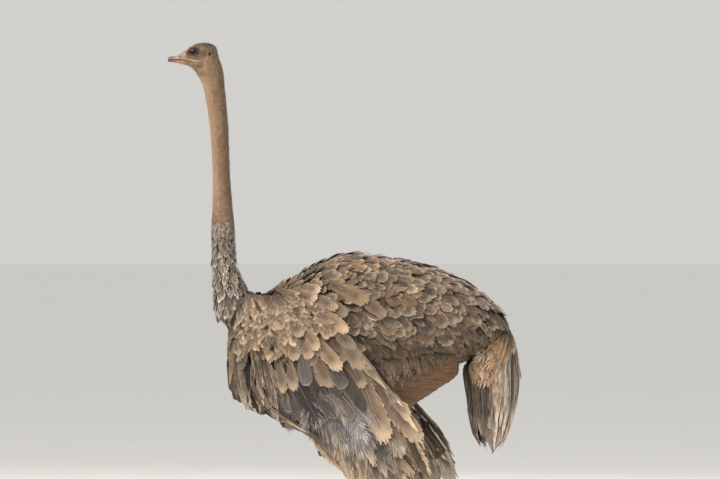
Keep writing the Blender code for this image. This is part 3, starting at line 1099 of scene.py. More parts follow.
@dataclass(frozen=True)
class Signal:
    """A number, place or colour on its way through a material, with sums written as usual."""

    make: Recipe
    socket: bpy.types.NodeSocket

    def __add__(self, other: Signal | float) -> Signal:
        """The sum."""
        return self.make.maths("ADD", self, other)

    def __radd__(self, other: float) -> Signal:
        """The sum, with the number first."""
        return self.make.maths("ADD", other, self)

    def __mul__(self, other: Signal | float) -> Signal:
        """The product."""
        return self.make.maths("MULTIPLY", self, other)

    def capped(self, other: Signal | float) -> Signal:
        """The product, held between 0 and 1."""
        return self.make.maths("MULTIPLY", self, other, clamp=True)

    def scaled(self, *scale: float) -> Signal:
        """A place stretched along each axis."""
        return self.make.node("ShaderNodeMapping", 0, {"Vector": self, "Scale": scale})

    def noise(self, scale: float, detail: float = 3.0, distortion: float = 0.0) -> Signal:
        """Cloudy noise between 0 and 1 at a place."""
        inputs = {"Vector": self, "Scale": scale, "Detail": detail, "Distortion": distortion}
        return self.make.node("ShaderNodeTexNoise", "Fac", inputs)

    def cells(self, scale: float) -> Signal:
        """Distance of a place to the edges of small plates."""
        inputs = {"Vector": self, "Scale": scale}
        return self.make.node("ShaderNodeTexVoronoi", "Distance", inputs, feature="DISTANCE_TO_EDGE")

    def between(self, low: float, high: float) -> Signal:
        """0 below low and 1 above high, eased."""
        inputs = {"Value": self, "From Min": low, "From Max": high}
        return self.make.node("ShaderNodeMapRange", "Result", inputs, interpolation_type="SMOOTHSTEP")

    def blend(self, first: Signal | Colour, second: Signal | Colour) -> Signal:
        """The second colour laid over the first by this share."""
        inputs = {0: self, 6: first, 7: second}
        return self.make.node("ShaderNodeMix", 2, inputs, data_type="RGBA", blend_type="MIX")

    def bump(self, distance: float, strength: float, under: Signal | None = None) -> Signal:
        """A normal raised by this height, over another."""
        inputs = {"Height": self, "Distance": distance, "Strength": strength}
        return self.make.node("ShaderNodeBump", 0, inputs if under is None else {**inputs, "Normal": under})


class Recipe:
    """A material being put together on one Principled shader."""

    def __init__(self, name: str) -> None:
        """Start a material of that name."""
        self.material = bpy.data.materials.new(name)
        self.material.use_nodes = True
        self.tree = self.material.node_tree

    def node(
        self, kind: str, output: int | str, inputs: dict[int | str, object], **settings: object
    ) -> Signal:
        """Add a node, set its properties, feed its inputs, and give one of its outputs.

        Args:
            kind: the type of the node.
            output: the output to give back.
            inputs: what each input takes.
            **settings: properties to set on the node.

        Returns:
            The chosen output.
        """
        made = self.tree.nodes.new(kind)
        for key, value in settings.items():
            setattr(made, key, value)
        for key, value in inputs.items():
            self.feed(made.inputs[key], value)
        return Signal(self, made.outputs[output])

    def feed(self, socket: bpy.types.NodeSocket, value: Signal | Colour | float) -> None:
        """Link a socket to a signal, or give it a plain value.

        Args:
            socket: the socket to feed.
            value: a signal or a plain value.
        """
        if isinstance(value, Signal):
            self.tree.links.new(value.socket, socket)
        else:
            socket.default_value = (*value, 1.0) if socket.type == "RGBA" else value

    def mark(self, name: str) -> Signal:
        """A number stored on the mesh."""
        return self.node("ShaderNodeAttribute", "Fac", {}, attribute_name=name)

    def spot(self) -> Signal:
        """The place on the object, in metres."""
        return self.node("ShaderNodeTexCoord", "Object", {})

    def map(self, name: str) -> Signal:
        """A UV map's place."""
        return self.node("ShaderNodeUVMap", "UV", {}, uv_map=name)

    def maths(self, operation: str, *terms: Signal | float, clamp: bool = False) -> Signal:
        """One sum on numbers."""
        return self.node("ShaderNodeMath", 0, dict(enumerate(terms)), operation=operation, use_clamp=clamp)

    def brightened(self, colour: Signal | Colour, factor: Signal) -> Signal:
        """A colour with its brightness multiplied."""
        return self.node("ShaderNodeHueSaturation", 0, {"Color": colour, "Value": factor})

    def finished(
        self, colour: Signal, roughness: Signal | float, normal: Signal | None = None, **fixed: float
    ) -> Material:
        """Feed the shader and give the material back.

        Args:
            colour: the base colour.
            roughness: how matt it is.
            normal: the raised normal, or none.
            fixed: other inputs of the shader, with spaces written as underscores.

        Returns:
            The material.
        """
        inputs = {"Base_Color": colour, "Roughness": roughness, **fixed}
        if normal is not None:
            inputs["Normal"] = normal
        for key, value in inputs.items():
            self.feed(self.tree.nodes["Principled BSDF"].inputs[key.replace("_", " ")], value)
        return self.material


@dataclass(frozen=True)
class PlumageFinish:
    """Soft barbs: a darker heart, a pale worn rim, and a tip that dust has stained."""

    name: str
    heart: Colour
    web: Colour
    rim: Colour
    tip: Colour
    warm: Colour
    rim_from: float = 0.55
    tip_from: float = 0.70
    streak: float = 0.45
    rooted: float = 0.62  # painted shade and the grey down at a feather's root end here
    sheen: float = 0.12

    def material(self) -> Material:
        """Barb-striped colour that follows the marks on each feather.

        Returns:
            The material.
        """
        make = Recipe(self.name)
        barbs = make.map("Barbs")
        strands = barbs.scaled(1.7, 0.9, 1.0).noise(2.1, 2.0)
        fine = barbs.scaled(9.0, 0.6, 1.0).noise(1.7, 1.0)
        cloud = make.spot().noise(16.0)
        edge, along, tone, stain, pale = map(make.mark, ("edge", "along", "tone", "stain", "pale"))
        colour = edge.between(0.05, 0.75).blend(self.heart, self.web)
        warmth = stain.capped(cloud.between(0.25, 0.60)) * edge.between(-0.10, 0.45)
        colour = warmth.blend(colour, self.warm)
        rim = edge.between(self.rim_from, 1.0) * strands.between(0.22, 0.50)
        colour = rim.capped(0.25 + pale).blend(colour, self.rim)
        colour = along.between(self.tip_from, 1.0).capped(pale).blend(colour, self.tip)
        light = make.maths("MULTIPLY_ADD", fine, self.streak, 1.0 - self.streak / 2)
        light = light * (1.0 + tone) * (0.70 + strands.between(0.25, 0.72) * 0.55)
        # Each feather darkens towards its root: painted shade where its neighbours overlap it, and partly its
        # own grey down.
        root_shade_and_down = 0.45 + along.between(0.05, self.rooted) * 0.55
        shaft = (edge * -1.0).between(0.4, 0.6) * 0.55
        colour = shaft.blend(make.brightened(colour, light * root_shade_and_down), self.rim)
        return make.finished(
            colour, 0.78, fine.bump(0.0008, 0.5), Sheen_Weight=self.sheen, Specular_IOR_Level=0.22
        )


@dataclass(frozen=True)
class HairFinish:
    """Bristly down, from its root colour to its paler end."""

    name: str
    root: Colour
    end: Colour

    def material(self) -> Material:
        """A colour along each hair, varied by its tone.

        Returns:
            The material.
        """
        make = Recipe(self.name)
        colour = make.mark("along").between(0.1, 0.9).blend(self.root, self.end)
        light = make.spot().noise(90.0, 1.0) * 0.5 + (0.75 + make.mark("tone"))
        return make.finished(make.brightened(colour, light), 0.62, Specular_IOR_Level=0.3)


@dataclass(frozen=True)
class SkinFinish:
    """Bare hide: tan and wrinkled on head and neck, orange on the thighs, plated on the feet."""

    name: str
    tan: Colour
    pale: Colour
    dark: Colour
    warm: Colour
    scute: Colour
    seam: Colour
    # the skin under the coat, darkened as painted shade
    under: Colour

    def material(self) -> Material:
        """Skin that reads the marks laid on its mesh.

        Returns:
            The material.
        """
        make = Recipe(self.name)
        spot = make.spot()
        mottle, broad = spot.noise(55.0, 4.0), spot.noise(14.0)
        rings = spot.scaled(1.0, 1.0, 3.4).noise(120.0, 3.0, 0.4)
        creases = spot.scaled(0.9, 0.35, 4.2).noise(46.0, 4.0, 0.5)
        plates, pores = spot.cells(300.0), spot.cells(520.0)
        horny = make.mark("horny")
        colour = (mottle.between(0.32, 0.80) * 0.45).blend(self.tan, self.pale)
        # The pale mark holds the head's paler patches and painted light down the front of the neck.
        colour = (make.mark("pale") * 0.8).blend(colour, self.pale)
        # The thigh's wrinkles are painted dark in their troughs and paler on their ridges: painted shade and
        # painted light that follow their bump.
        olive = creases.between(0.34, 0.56).blend(self.seam, self.warm)
        olive = (creases.between(0.57, 0.74) * 0.8).blend(olive, self.tan)
        colour = make.mark("warm").blend(colour, olive)
        # The dark mark holds the dark lids and crown, and painted shade down the back of the neck.
        colour = (make.mark("dark") * 0.85).blend(colour, self.dark)
        plate = (0.45 + plates.between(0.0, 0.09) * 0.55).blend(self.seam, self.scute)
        colour = horny.blend(colour, plate)
        # The crease mark is painted shade in the head's creases and openings; between the scutes of the feet
        # it is their own dark joints.
        colour = make.mark("crease").blend(colour, self.seam)
        # Skin under the body's coat is made dark: painted shade.
        colour = make.mark("covered").blend(colour, self.under)
        # The fine rings lighten the skin on their ridges and darken it in their troughs: painted light and
        # shade; the broad noise is the skin's own unevenness.
        colour = make.brightened(colour, 0.62 + (broad + rings) * 0.38)
        normal = (creases * make.mark("warm")).bump(0.0040, 0.8)
        normal = rings.bump(0.0016, 0.75, normal)
        normal = pores.between(0.0, 0.25).bump(0.0004, 0.5, normal)
        normal = (plates.between(0.0, 0.14) * horny).bump(0.0009, 0.9, normal)
        looks = {"Subsurface_Weight": 0.06, "Subsurface_Scale": 0.004, "Specular_IOR_Level": 0.32}
        return make.finished(colour, 0.50 + mottle * 0.2, normal, **looks)


@dataclass(frozen=True)
class HornFinish:
    """Worn horn of the bill and claws, with growth lines along it."""

    name: str
    body: Colour
    tip: Colour
    line: Colour
    along: float  # how far the lines are drawn out along the horn
    gloss: float = 0.42

    def material(self) -> Material:
        """Horn that changes colour to its tip, with painted shade in its grooves.

        Returns:
            The material.
        """
        make = Recipe(self.name)
        spot = make.spot()
        lines, wear = spot.scaled(1.0, self.along, 1.0).noise(60.0), spot.noise(130.0)
        colour = make.mark("tip").blend(self.body, self.tip)
        colour = (lines.between(0.45, 0.7) * 0.45).blend(colour, self.line)
        # The crease mark is painted shade: the bill's furrows, nostrils and the faces that its halves turn to
        # each other.
        colour = make.mark("crease").blend(colour, self.line)
        colour = make.brightened(colour, 0.72 + wear * 0.55)
        rough = (self.gloss - 0.1) + wear * 0.25
        return make.finished(colour, rough, lines.bump(0.0005, 0.5), Specular_IOR_Level=0.4)


@dataclass(frozen=True)
class EyeFinish:
    """Wet dark eye: pupil, brown iris with rays, and a dark rim."""

    name: str
    pupil: Colour
    iris: Colour
    rays: Colour
    rim: Colour
    pupil_size: float
    iris_size: float

    def material(self) -> Material:
        """Rings by the distance from the eye's axis, under a clear coat.

        Returns:
            The material.
        """
        make = Recipe(self.name)
        away = make.mark("away")
        streaks = make.map("Rays").scaled(38.0, 2.0, 1.0).noise(1.0, 2.0)
        colour = streaks.between(0.35, 0.7).blend(self.iris, self.rays)
        colour = away.between(self.iris_size * 0.82, self.iris_size).blend(colour, self.rim)
        colour = away.between(self.pupil_size, self.pupil_size * 1.18).blend(self.pupil, colour)
        looks = {"Coat_Weight": 0.8, "Coat_IOR": 1.34, "Coat_Roughness": 0.03, "Specular_IOR_Level": 0.05}
        return make.finished(colour, 0.25, **looks)


@dataclass(frozen=True)
class FloorFinish:
    """Plain pale studio floor."""

    name: str
    tint: Colour

    def material(self) -> Material:
        """A matt tint with a faint unevenness."""
        make = Recipe(self.name)
        colour = make.brightened(self.tint, 0.97 + make.spot().noise(3.0, 2.0) * 0.05)
        return make.finished(colour, 0.9, Specular_IOR_Level=0.15)


# Flesh under the coat --------------------------------------------------------------------------


@dataclass
class Eyes:
    """Both eyeballs, their lids' outline and the places that the head is drawn around."""

    forward: float = -0.10  # how far each eye looks ahead, against sideways
    upward: float = 0.02
    corner: float = 0.80  # half width of the opening, over the eyeball's radius
    upper: float = 0.56  # height of the upper lid
    lower: float = 0.46
    slant: float = -9.0  # degrees that the front corner dips
    cornea: float = 0.0009
    cornea_size: float = 0.60
    pupil_size: float = 0.27
    iris_size: float = 0.58
    steps: int = 72
    ball_rows: int = 56
    ball_around: int = 96
    radius: float = field(init=False)
    centres: dict[str, Array] = field(init=False)

    def __post_init__(self) -> None:
        """Read the eyes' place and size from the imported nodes."""
        self.centres = {}
        for side in SIDES:
            low, high = box_of(f"eye_{side}")
            self.centres[side] = (low + high) / 2
            self.radius = float((high - low)[1] / 2)

    def axes(self, side: str) -> tuple[Array, Array, Array]:
        """The way the eye looks, the way to its front corner, and the way up across its lids.

        Args:
            side: left or right.

        Returns:
            Three unit vectors.
        """
        look = unit(np.array([SIDES[side], self.forward, self.upward]))
        front = unit(np.cross(np.array([0.0, 0.0, SIDES[side]]), look) * -1)
        if front[1] > 0:
            front = -front
        rise = unit(np.cross(look, front))
        rise = rise * np.sign(rise[2])
        cos, sin = math.cos(math.radians(self.slant)), math.sin(math.radians(self.slant))
        return look, front * cos + rise * sin, rise * cos - front * sin

    def lid_height(self, across: Array, upper: Array) -> Array:
        """Height of the opening's edge at a share of the way across it."""
        share = np.clip(1 - np.abs(across / self.corner) ** 2.1, 0, 1)
        return np.where(upper, self.upper * share**0.72, self.lower * share**0.85)

    def openness(self, places: Array, side: str) -> tuple[Array, Array, Array]:
        """How far each place lies from the opening, in openings, with its distance from the eye.

        Args:
            places: points near the head.
            side: which eye.

        Returns:
            A number below 1 inside the opening, the distance from the eye's centre, and the cosine
            between the eye's axis and the way to the place.
        """
        look, front, rise = self.axes(side)
        away = places - self.centres[side]
        far = np.linalg.norm(away, axis=1)
        way = away / np.maximum(far, 1e-6)[:, None]
        across, up = way @ front, way @ rise
        height = self.lid_height(across * 0.92, up > 0) + 0.02
        inside = np.abs(up) / height
        sideways = np.abs(across) / self.corner
        found = np.maximum(inside, sideways)
        beyond = np.hypot(up / np.where(up > 0, self.upper, self.lower), across / self.corner)
        found = np.where(np.abs(across) < self.corner, found, beyond)
        return np.where(found > 1.35, beyond, found), far, way @ look


    def rim(self, side: str, lift: float, grow: float = 1.0) -> Array:
        """Points round the opening's edge, at a height over the eyeball.

        Args:
            side: left or right.
            lift: the height over the eyeball.
            grow: how far to widen the opening.

        Returns:
            The points, one to a row.
        """
        look, front, rise = self.axes(side)
        cos, sin = circle(self.steps)
        across = self.corner * cos
        up = self.lid_height(across, sin >= 0) * np.sign(sin + 1e-9)
        across, up = across * grow, up * grow
        ahead = np.sqrt(np.clip(1 - across**2 - up**2, 0.05, 1))
        ways = across[:, None] * front + up[:, None] * rise + ahead[:, None] * look
        return self.centres[side] + unit(ways) * (self.radius + lift)

    def ball(self, side: str) -> Thing:
        """One eyeball with its bulging cornea, and rings marked by their distance from its axis.

        Args:
            side: left or right.

        Returns:
            The eyeball.
        """
        look, front, rise = self.axes(side)
        angles = np.linspace(0, math.pi, self.ball_rows + 1)[1:]
        angles = math.pi * (angles / math.pi) ** 1.25
        cos, sin = circle(self.ball_around)
        bulge = self.radius + self.cornea * (1 - ramp(0.0, self.cornea_size, np.sin(angles / 2) * 1.2))
        level, wide = np.cos(angles) * bulge, np.sin(angles) * bulge
        rings = self.centres[side] + level[:, None, None] * look
        rings = rings + (wide[:, None] * cos)[..., None] * front + (wide[:, None] * sin)[..., None] * rise
        made = tube_object(f"eye_{side}_ball", rings[:-1])
        away = np.repeat(np.sin(np.minimum(angles[:-1], math.pi / 2)), self.ball_around)
        away = np.concatenate([away, [0.0, 1.0]])
        give_values(made, away=away)
        turns = math.tau * np.arange(self.ball_around) / self.ball_around
        turns = np.concatenate([np.tile(turns, self.ball_rows - 1), [0.0, 0.0]])
        give_map(made, "Rays", np.stack([np.cos(turns) * 0.5 + np.sin(turns * 3) * 0.1, away], -1))
        return enrolled(made, "eye", f"eye_{side}")

    def build(self, finish: EyeFinish) -> list[Thing]:
        """Both eyeballs, dressed."""
        material = finish.material()
        return [dressed(self.ball(side), material) for side in SIDES]


@dataclass
class HeadForm:
    """Flesh of the head: lumps fused with the neck, then creased around eyes, mouth and ears."""

    eyes: Eyes
    voxel: float = 0.0030
    mouth_depth: float = 0.0024
    mouth_width: float = 0.0017
    lid: float = 0.0013
    ear_depth: float = 0.0065
    ear_place: tuple[float, float] = (0.0645, -0.0075)
    gape_end: tuple[float, float] = (0.031, -0.0425)
    mouth_start: tuple[float, float] = (-0.036, -0.0300)
    fine_from: float = -0.085  # the head's finer skin starts this far below the eyes
    lap: float = 0.015  # how far the soft skin runs forward over the bill's root

    @property
    def middle(self) -> Array:
        """The point between the eyes."""
        return sum(self.eyes.centres.values()) / 2

    def lumps(self) -> list[Thing]:
        """Cranium, orbits, muzzle, jaw, cheeks, brows and bridge, to be fused.

        Returns:
            The closed lumps.
        """
        middle = np.array((0.0, *self.middle[1:]))
        made = [ball(middle + place, size) for place, size in HEAD_LUMPS]
        for way in SIDES.values():
            made += [ball(middle + np.array(place) * (way, 1, 1), size) for place, size in SIDE_LUMPS]
        return [*made, self.collar()]

    def collar(self) -> Thing:
        """The soft skin that laps forward over the bill's root, furthest on its sides.

        Returns:
            The closed ring of skin.
        """
        around = 48
        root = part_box("bill_upper")[1].y
        places = np.linspace(root - self.lap, root - 0.0008, 16)
        found = Solid("bill_upper", "bill_lower").slices(1, places)
        cos, sin = circle(around)
        edge = root - self.lap + 0.0035 + 0.0065 * np.abs(sin) ** 1.5
        thick = -0.0010 + 0.0022 * ramp(0.0, 0.0075, places[:, None] - edge)
        wide = found[:, 3][:, None] + thick
        half = (found[:, 5] - found[:, 2])[:, None] / 2 + thick
        middle = (found[:, 5] + found[:, 2])[:, None] / 2
        along = np.repeat(places[:, None], around, 1)
        rings = np.stack([wide * powered(cos, 0.80), along, middle + half * powered(sin, 0.85)], -1)
        last, centre = rings[-1], rings[-1].mean(0)
        tucks = ((0.99, 0.006), (0.90, 0.014))
        behind = [centre + (last - centre) * shrink + BACK * back for shrink, back in tucks]
        return tube_object("collar", np.concatenate([rings, behind]))

    def mouth_line(self, y: Array) -> Array:
        """Height of the mouth line against the eyes, at places along the head."""
        (start, high), (end, low) = self.mouth_start, self.gape_end
        share = np.clip((y - start) / (end - start), 0, 1)
        return high + (low - high) * share**1.25 - 0.0016 * np.sin(math.pi * share)

    def mouth(self, y: Array, z: Array, side: Array) -> tuple[Array, Array]:
        """How far the lips stand out and the mouth sinks in, and how much painted shade its crease takes.

        Args:
            y: places along the head.
            z: places up the head.
            side: distances from the middle.

        Returns:
            The shift outwards and the painted shade of each point.
        """
        start, end = self.mouth_start[0], self.gape_end[0]
        along = ramp(start - 0.01, start, y) * (1 - ramp(end - 0.003, end + 0.006, y))
        off, flank = z - self.mouth_line(y), ramp(0.010, 0.020, side)
        groove = bell(off, self.mouth_width) * along * flank
        lips = (bell(off - 0.0046, 0.0026) + bell(off + 0.0046, 0.0026)) * along * flank
        return 0.0011 * lips - self.mouth_depth * groove, 0.9 * groove

    def folds(self, y: Array, z: Array, side: Array) -> Iterator[tuple[Array, Array]]:
        """The same for each fold behind the gape.

        Args:
            y: places along the head.
            z: places up the head.
            side: distances from the middle.

        Yields:
            The shift outwards and the painted shade of each point, for one fold.
        """
        for bend, dy, dz, size, deep in CHEEK_FOLDS:
            bow = (y - dy) - bend * ((z - dz) / size) ** 2 * 0.35
            fold = bell(bow, 0.0020) * bell(z - dz, size) * ramp(0.012, 0.020, side)
            yield deep * 0.7 * bell(bow - 0.0045, 0.003) * bell(z - dz, size) - deep * fold, 0.35 * fold

    def ear(self, y: Array, z: Array, side: Array) -> tuple[Array, Array]:
        """The same for the ear openings and their rims.

        Args:
            y: places along the head.
            z: places up the head.
            side: distances from the middle.

        Returns:
            The shift outwards and the painted shade of each point.
        """
        away = np.hypot((y - self.ear_place[0]) / 0.0062, (z - self.ear_place[1]) / 0.0085)
        flank = ramp(0.012, 0.018, side)
        shift = flank * (0.0014 * bell(away - 1.25, 0.33) - self.ear_depth * (1 - ramp(0.35, 1.05, away)))
        return shift, flank * (1 - ramp(0.45, 1.0, away))

    def creased(self, thing: Thing) -> None:
        """Raise lids, brows and lips, and sink the eye openings, mouth, ears and neck folds.

        Args:
            thing: the mesh to change.
        """
        places, out = points_of(thing), normals_of(thing)
        p = places - self.middle
        y, z = p[:, 1], p[:, 2]
        side = np.abs(p[:, 0])
        near = z > self.fine_from - 0.02
        flank = ramp(0.010, 0.020, side)
        shift, crease, lids = np.zeros((3, len(p)))
        # The crease mark is painted shade in the mouth, folds, ear openings and rings round the eyes.
        for raised, dark in (self.mouth(y, z, side), *self.folds(y, z, side), self.ear(y, z, side)):
            shift += raised
            crease += dark
        shift += 0.0008 * bell(np.hypot((y + 0.0266) / 0.009, (z + 0.0075) / 0.007), 0.9) * flank
        throat = ramp(0.0, 0.02, -z - 0.050) * ramp(0.0, 0.5, -out[:, 1])
        shift += 0.0004 * throat * np.sin(z * math.tau / 0.0075 + 3 * np.sin(p[:, 0] * 60))

        for name, way in SIDES.items():
            opening, far, facing = self.eyes.openness(places, name)
            turned = (p[:, 0] * way > 0.004) & (facing > 0.05) & (far < 0.034)
            cover = self.eyes.radius + self.lid
            raised = np.where(turned & (facing > 0.12), np.maximum(cover - far, 0.0), 0.0)
            hole = turned & (opening < 1.0)
            way_out = unit(places - self.eyes.centres[name])
            level = np.where(hole, self.eyes.radius - 0.0035 - far, raised)
            level = np.where(turned, level, 0.0)
            places = places + way_out * level[:, None]
            rings = bell(opening - 1.30, 0.07) + 0.7 * bell(opening - 1.52, 0.08)
            rings = rings + 0.45 * bell(opening - 1.8, 0.09)
            mask = turned * (1 - ramp(0.026, 0.034, far))
            shift -= 0.00075 * rings * mask
            # The rings round each eye take painted shade as well.
            crease += 0.35 * rings * mask
            lids += mask * (1 - ramp(1.10, 1.42, opening))
        places = places + out * (shift * near)[:, None]
        move_points(thing, places)
        give_values(thing, crease=np.clip(crease, 0, 1) * near, lids=np.clip(lids, 0, 1))

    def lid_rims(self) -> list[Thing]:
        """Thickened edges of both eyes' lids.

        Returns:
            One closed tube for each eye.
        """
        made, around = [], 12
        cos, sin = circle(around)
        for name in SIDES:
            path = self.eyes.rim(name, 0.0004)
            ways = unit(np.roll(path, -1, 0) - np.roll(path, 1, 0))
            across = unit(np.cross(ways, self.eyes.axes(name)[0]))
            out = unit(path - self.eyes.centres[name])
            rings = path[:, None] + across[:, None] * (0.0014 * cos)[None, :, None]
            rings = rings + out[:, None] * (0.0011 * sin)[None, :, None]
            faces = grid_faces(len(path) + 1, around) % (len(path) * around)
            made.append(new_object("lid_rim", rings.reshape(-1, 3), faces))
        return made


@dataclass
class Neck:
    """The bare column between the head and the feathered base, with its windpipe and folds."""

    head: HeadForm
    down: float = 0.0012  # depth of the thin down over it
    stations: int = 30
    foot: float = 1.262  # where it disappears into the neck's feathers
    top_drop: float = 0.085  # its measured part stops this far below the eyes
    windpipe: float = 0.0016

    def path(self) -> tuple[Array, Array, Array]:
        """Centres and half sizes of the column, from its foot up into the head.

        Returns:
            Centres, half widths and half depths, one row for each height.
        """
        _, y, z = self.head.middle
        heights = np.linspace(self.foot, z - self.top_drop - 0.025, self.stations)
        found = Solid("neck_lower", "neck_middle", "neck_upper").slices(2, heights)
        rows = []
        for height, (low_x, low_y, _, high_x, high_y, _) in zip(heights, found):
            half = ((high_x - low_x) / 2 - self.down, (high_y - low_y) / 2 - self.down)
            rows.append((0.0, (low_y + high_y) / 2, height, *half))
        rows += [(0.0, y + back, z + up, wide, deep) for back, up, wide, deep in NECK_TOP]
        table = np.array(rows)
        return table[:, :3], table[:, 3], table[:, 4]

    def column(self) -> Thing:
        """The column as a closed tube.

        Returns:
            The closed tube.
        """
        centres, *sizes = self.path()
        count = 220
        steps, share = np.linspace(0, 1, len(centres)), np.linspace(0, 1, count)
        wide, deep = (np.interp(share, steps, size) for size in sizes)
        return swept("neck_column", curve_through(centres, count), wide, deep, 72, power=2.15)

    def folded(self, thing: Thing) -> None:
        """Raise the windpipe down the front and ring the column with shallow folds.

        Args:
            thing: the mesh to change.
        """
        places, out = points_of(thing), normals_of(thing)
        _, _, eye = self.head.middle
        on_neck = (1 - ramp(eye - 0.125, eye - 0.075, places[:, 2])) * ramp(1.28, 1.34, places[:, 2])
        front = np.arctan2(places[:, 0], -(places[:, 1] - np.interp(places[:, 2], *self.centre_line())))
        pipe = bell(np.abs(front) - 0.18, 0.34) - 0.8 * bell(np.abs(front) - 0.95, 0.16)
        wave = 6 * np.sin(places[:, 0] * 45) + 2.2 * np.sin(places[:, 2] * 31 + places[:, 0] * 80)
        folds = np.sin(places[:, 2] * math.tau / 0.0135 + wave) * 0.00030
        folds = folds + np.sin(places[:, 2] * math.tau / 0.0215 + 1.3 * wave) * 0.00028
        nape = ramp(0.2, 0.9, out[:, 1])
        rise = (self.windpipe * pipe * 0.6 + folds * (1 - 0.5 * nape)) * on_neck
        move_points(thing, places + out * rise[:, None])

    def centre_line(self) -> tuple[Array, Array]:
        """Heights and the column's middle at each."""
        centres = self.path()[0]
        return centres[:, 2], centres[:, 1]


@dataclass
class BodyForm:
    """Flesh of the trunk, the neck's feathered base and the tail's root, inside their coat."""

    back_depth: float = 0.034
    flank_depth: float = 0.034
    belly_depth: float = 0.024
    front: float = -0.335
    rear: float = 0.575
    base_top: float = 1.400
    base_foot: float = 0.985
    voxel: float = 0.017

    def coat(self, places: Array) -> Array:
        """Depth of the trunk's coat at places on its outline.

        Args:
            places: the places to look at.

        Returns:
            The depth at each place.
        """
        middle = 0.5 * (places[..., 2].max(-1, keepdims=True) + places[..., 2].min(-1, keepdims=True))
        half = 0.5 * (places[..., 2].max(-1, keepdims=True) - places[..., 2].min(-1, keepdims=True))
        up = (places[..., 2] - middle) / half
        depth = self.flank_depth + (self.belly_depth - self.flank_depth) * ramp(0.2, 0.9, -up)
        return np.minimum(depth + (self.back_depth - self.flank_depth) * ramp(0.3, 0.9, up), 0.5 * half)

    def base_coat(self, places: Array) -> Array:
        """Depth of the neck base's feathers, from nothing at the top to full at the breast."""
        return 0.0030 + 0.0255 * (1 - ramp(1.04, 1.33, places[..., 2]))

    def trunk(self) -> Sleeve:
        """The trunk's sleeve, from breast to rump."""
        return Sleeve(Solid("trunk"), Axis.LENGTH, self.front, self.rear, 76, 96, self.coat, blur=2)

    def base(self) -> Sleeve:
        """The neck base's sleeve, from its top down to the breast."""
        solid = Solid("neck_lower", "neck_middle")
        return Sleeve(solid, Axis.HEIGHT, self.base_top, self.base_foot, 54, 72, self.base_coat, blur=1)

    def fused(self, trunk: Sleeve, base: Sleeve) -> Thing:
        """Trunk, neck base, tail root and upper wing bones as one closed shell.

        Args:
            trunk: the trunk's sleeve.
            base: the neck base's sleeve.

        Returns:
            The closed shell.
        """
        low, high = box_of("trunk")
        rump = (0.0, high[1] - 0.055, low[2] + 0.62 * (high[2] - low[2]) - 0.10)
        breast = (0.0, self.front - 0.050, self.base_foot - 0.045)
        parts = [trunk.shell("trunk_flesh", 0.55), base.shell("base_flesh")]
        parts += [ball(rump, (0.075, 0.075, 0.085)), ball(breast, (0.085, 0.080, 0.100))]
        parts += [self.arm(side, way) for side, way in SIDES.items()]
        return remeshed(joined("body_flesh", parts), self.voxel, 5)

    def arm(self, side: str, way: float) -> Thing:
        """The wing's upper arm and forearm, folded down over the flank.

        Args:
            side: left or right.
            way: 1 for the left and -1 for the right.

        Returns:
            The closed tube.
        """
        low, high = box_of(f"wing_{side}")
        _, wide, tall = high - low
        outer = high[0] if way > 0 else -low[0]
        knots = [(out * outer, low[1] + back * wide, low[2] + up * tall) for out, back, up in ARM_KNOTS]
        path = curve_through(np.array(knots) * (way, 1, 1), 30)
        share = np.linspace(0, 1, 30)
        return swept(f"arm_{side}", path, 0.034 - 0.018 * share, 0.040 - 0.022 * share, 20)


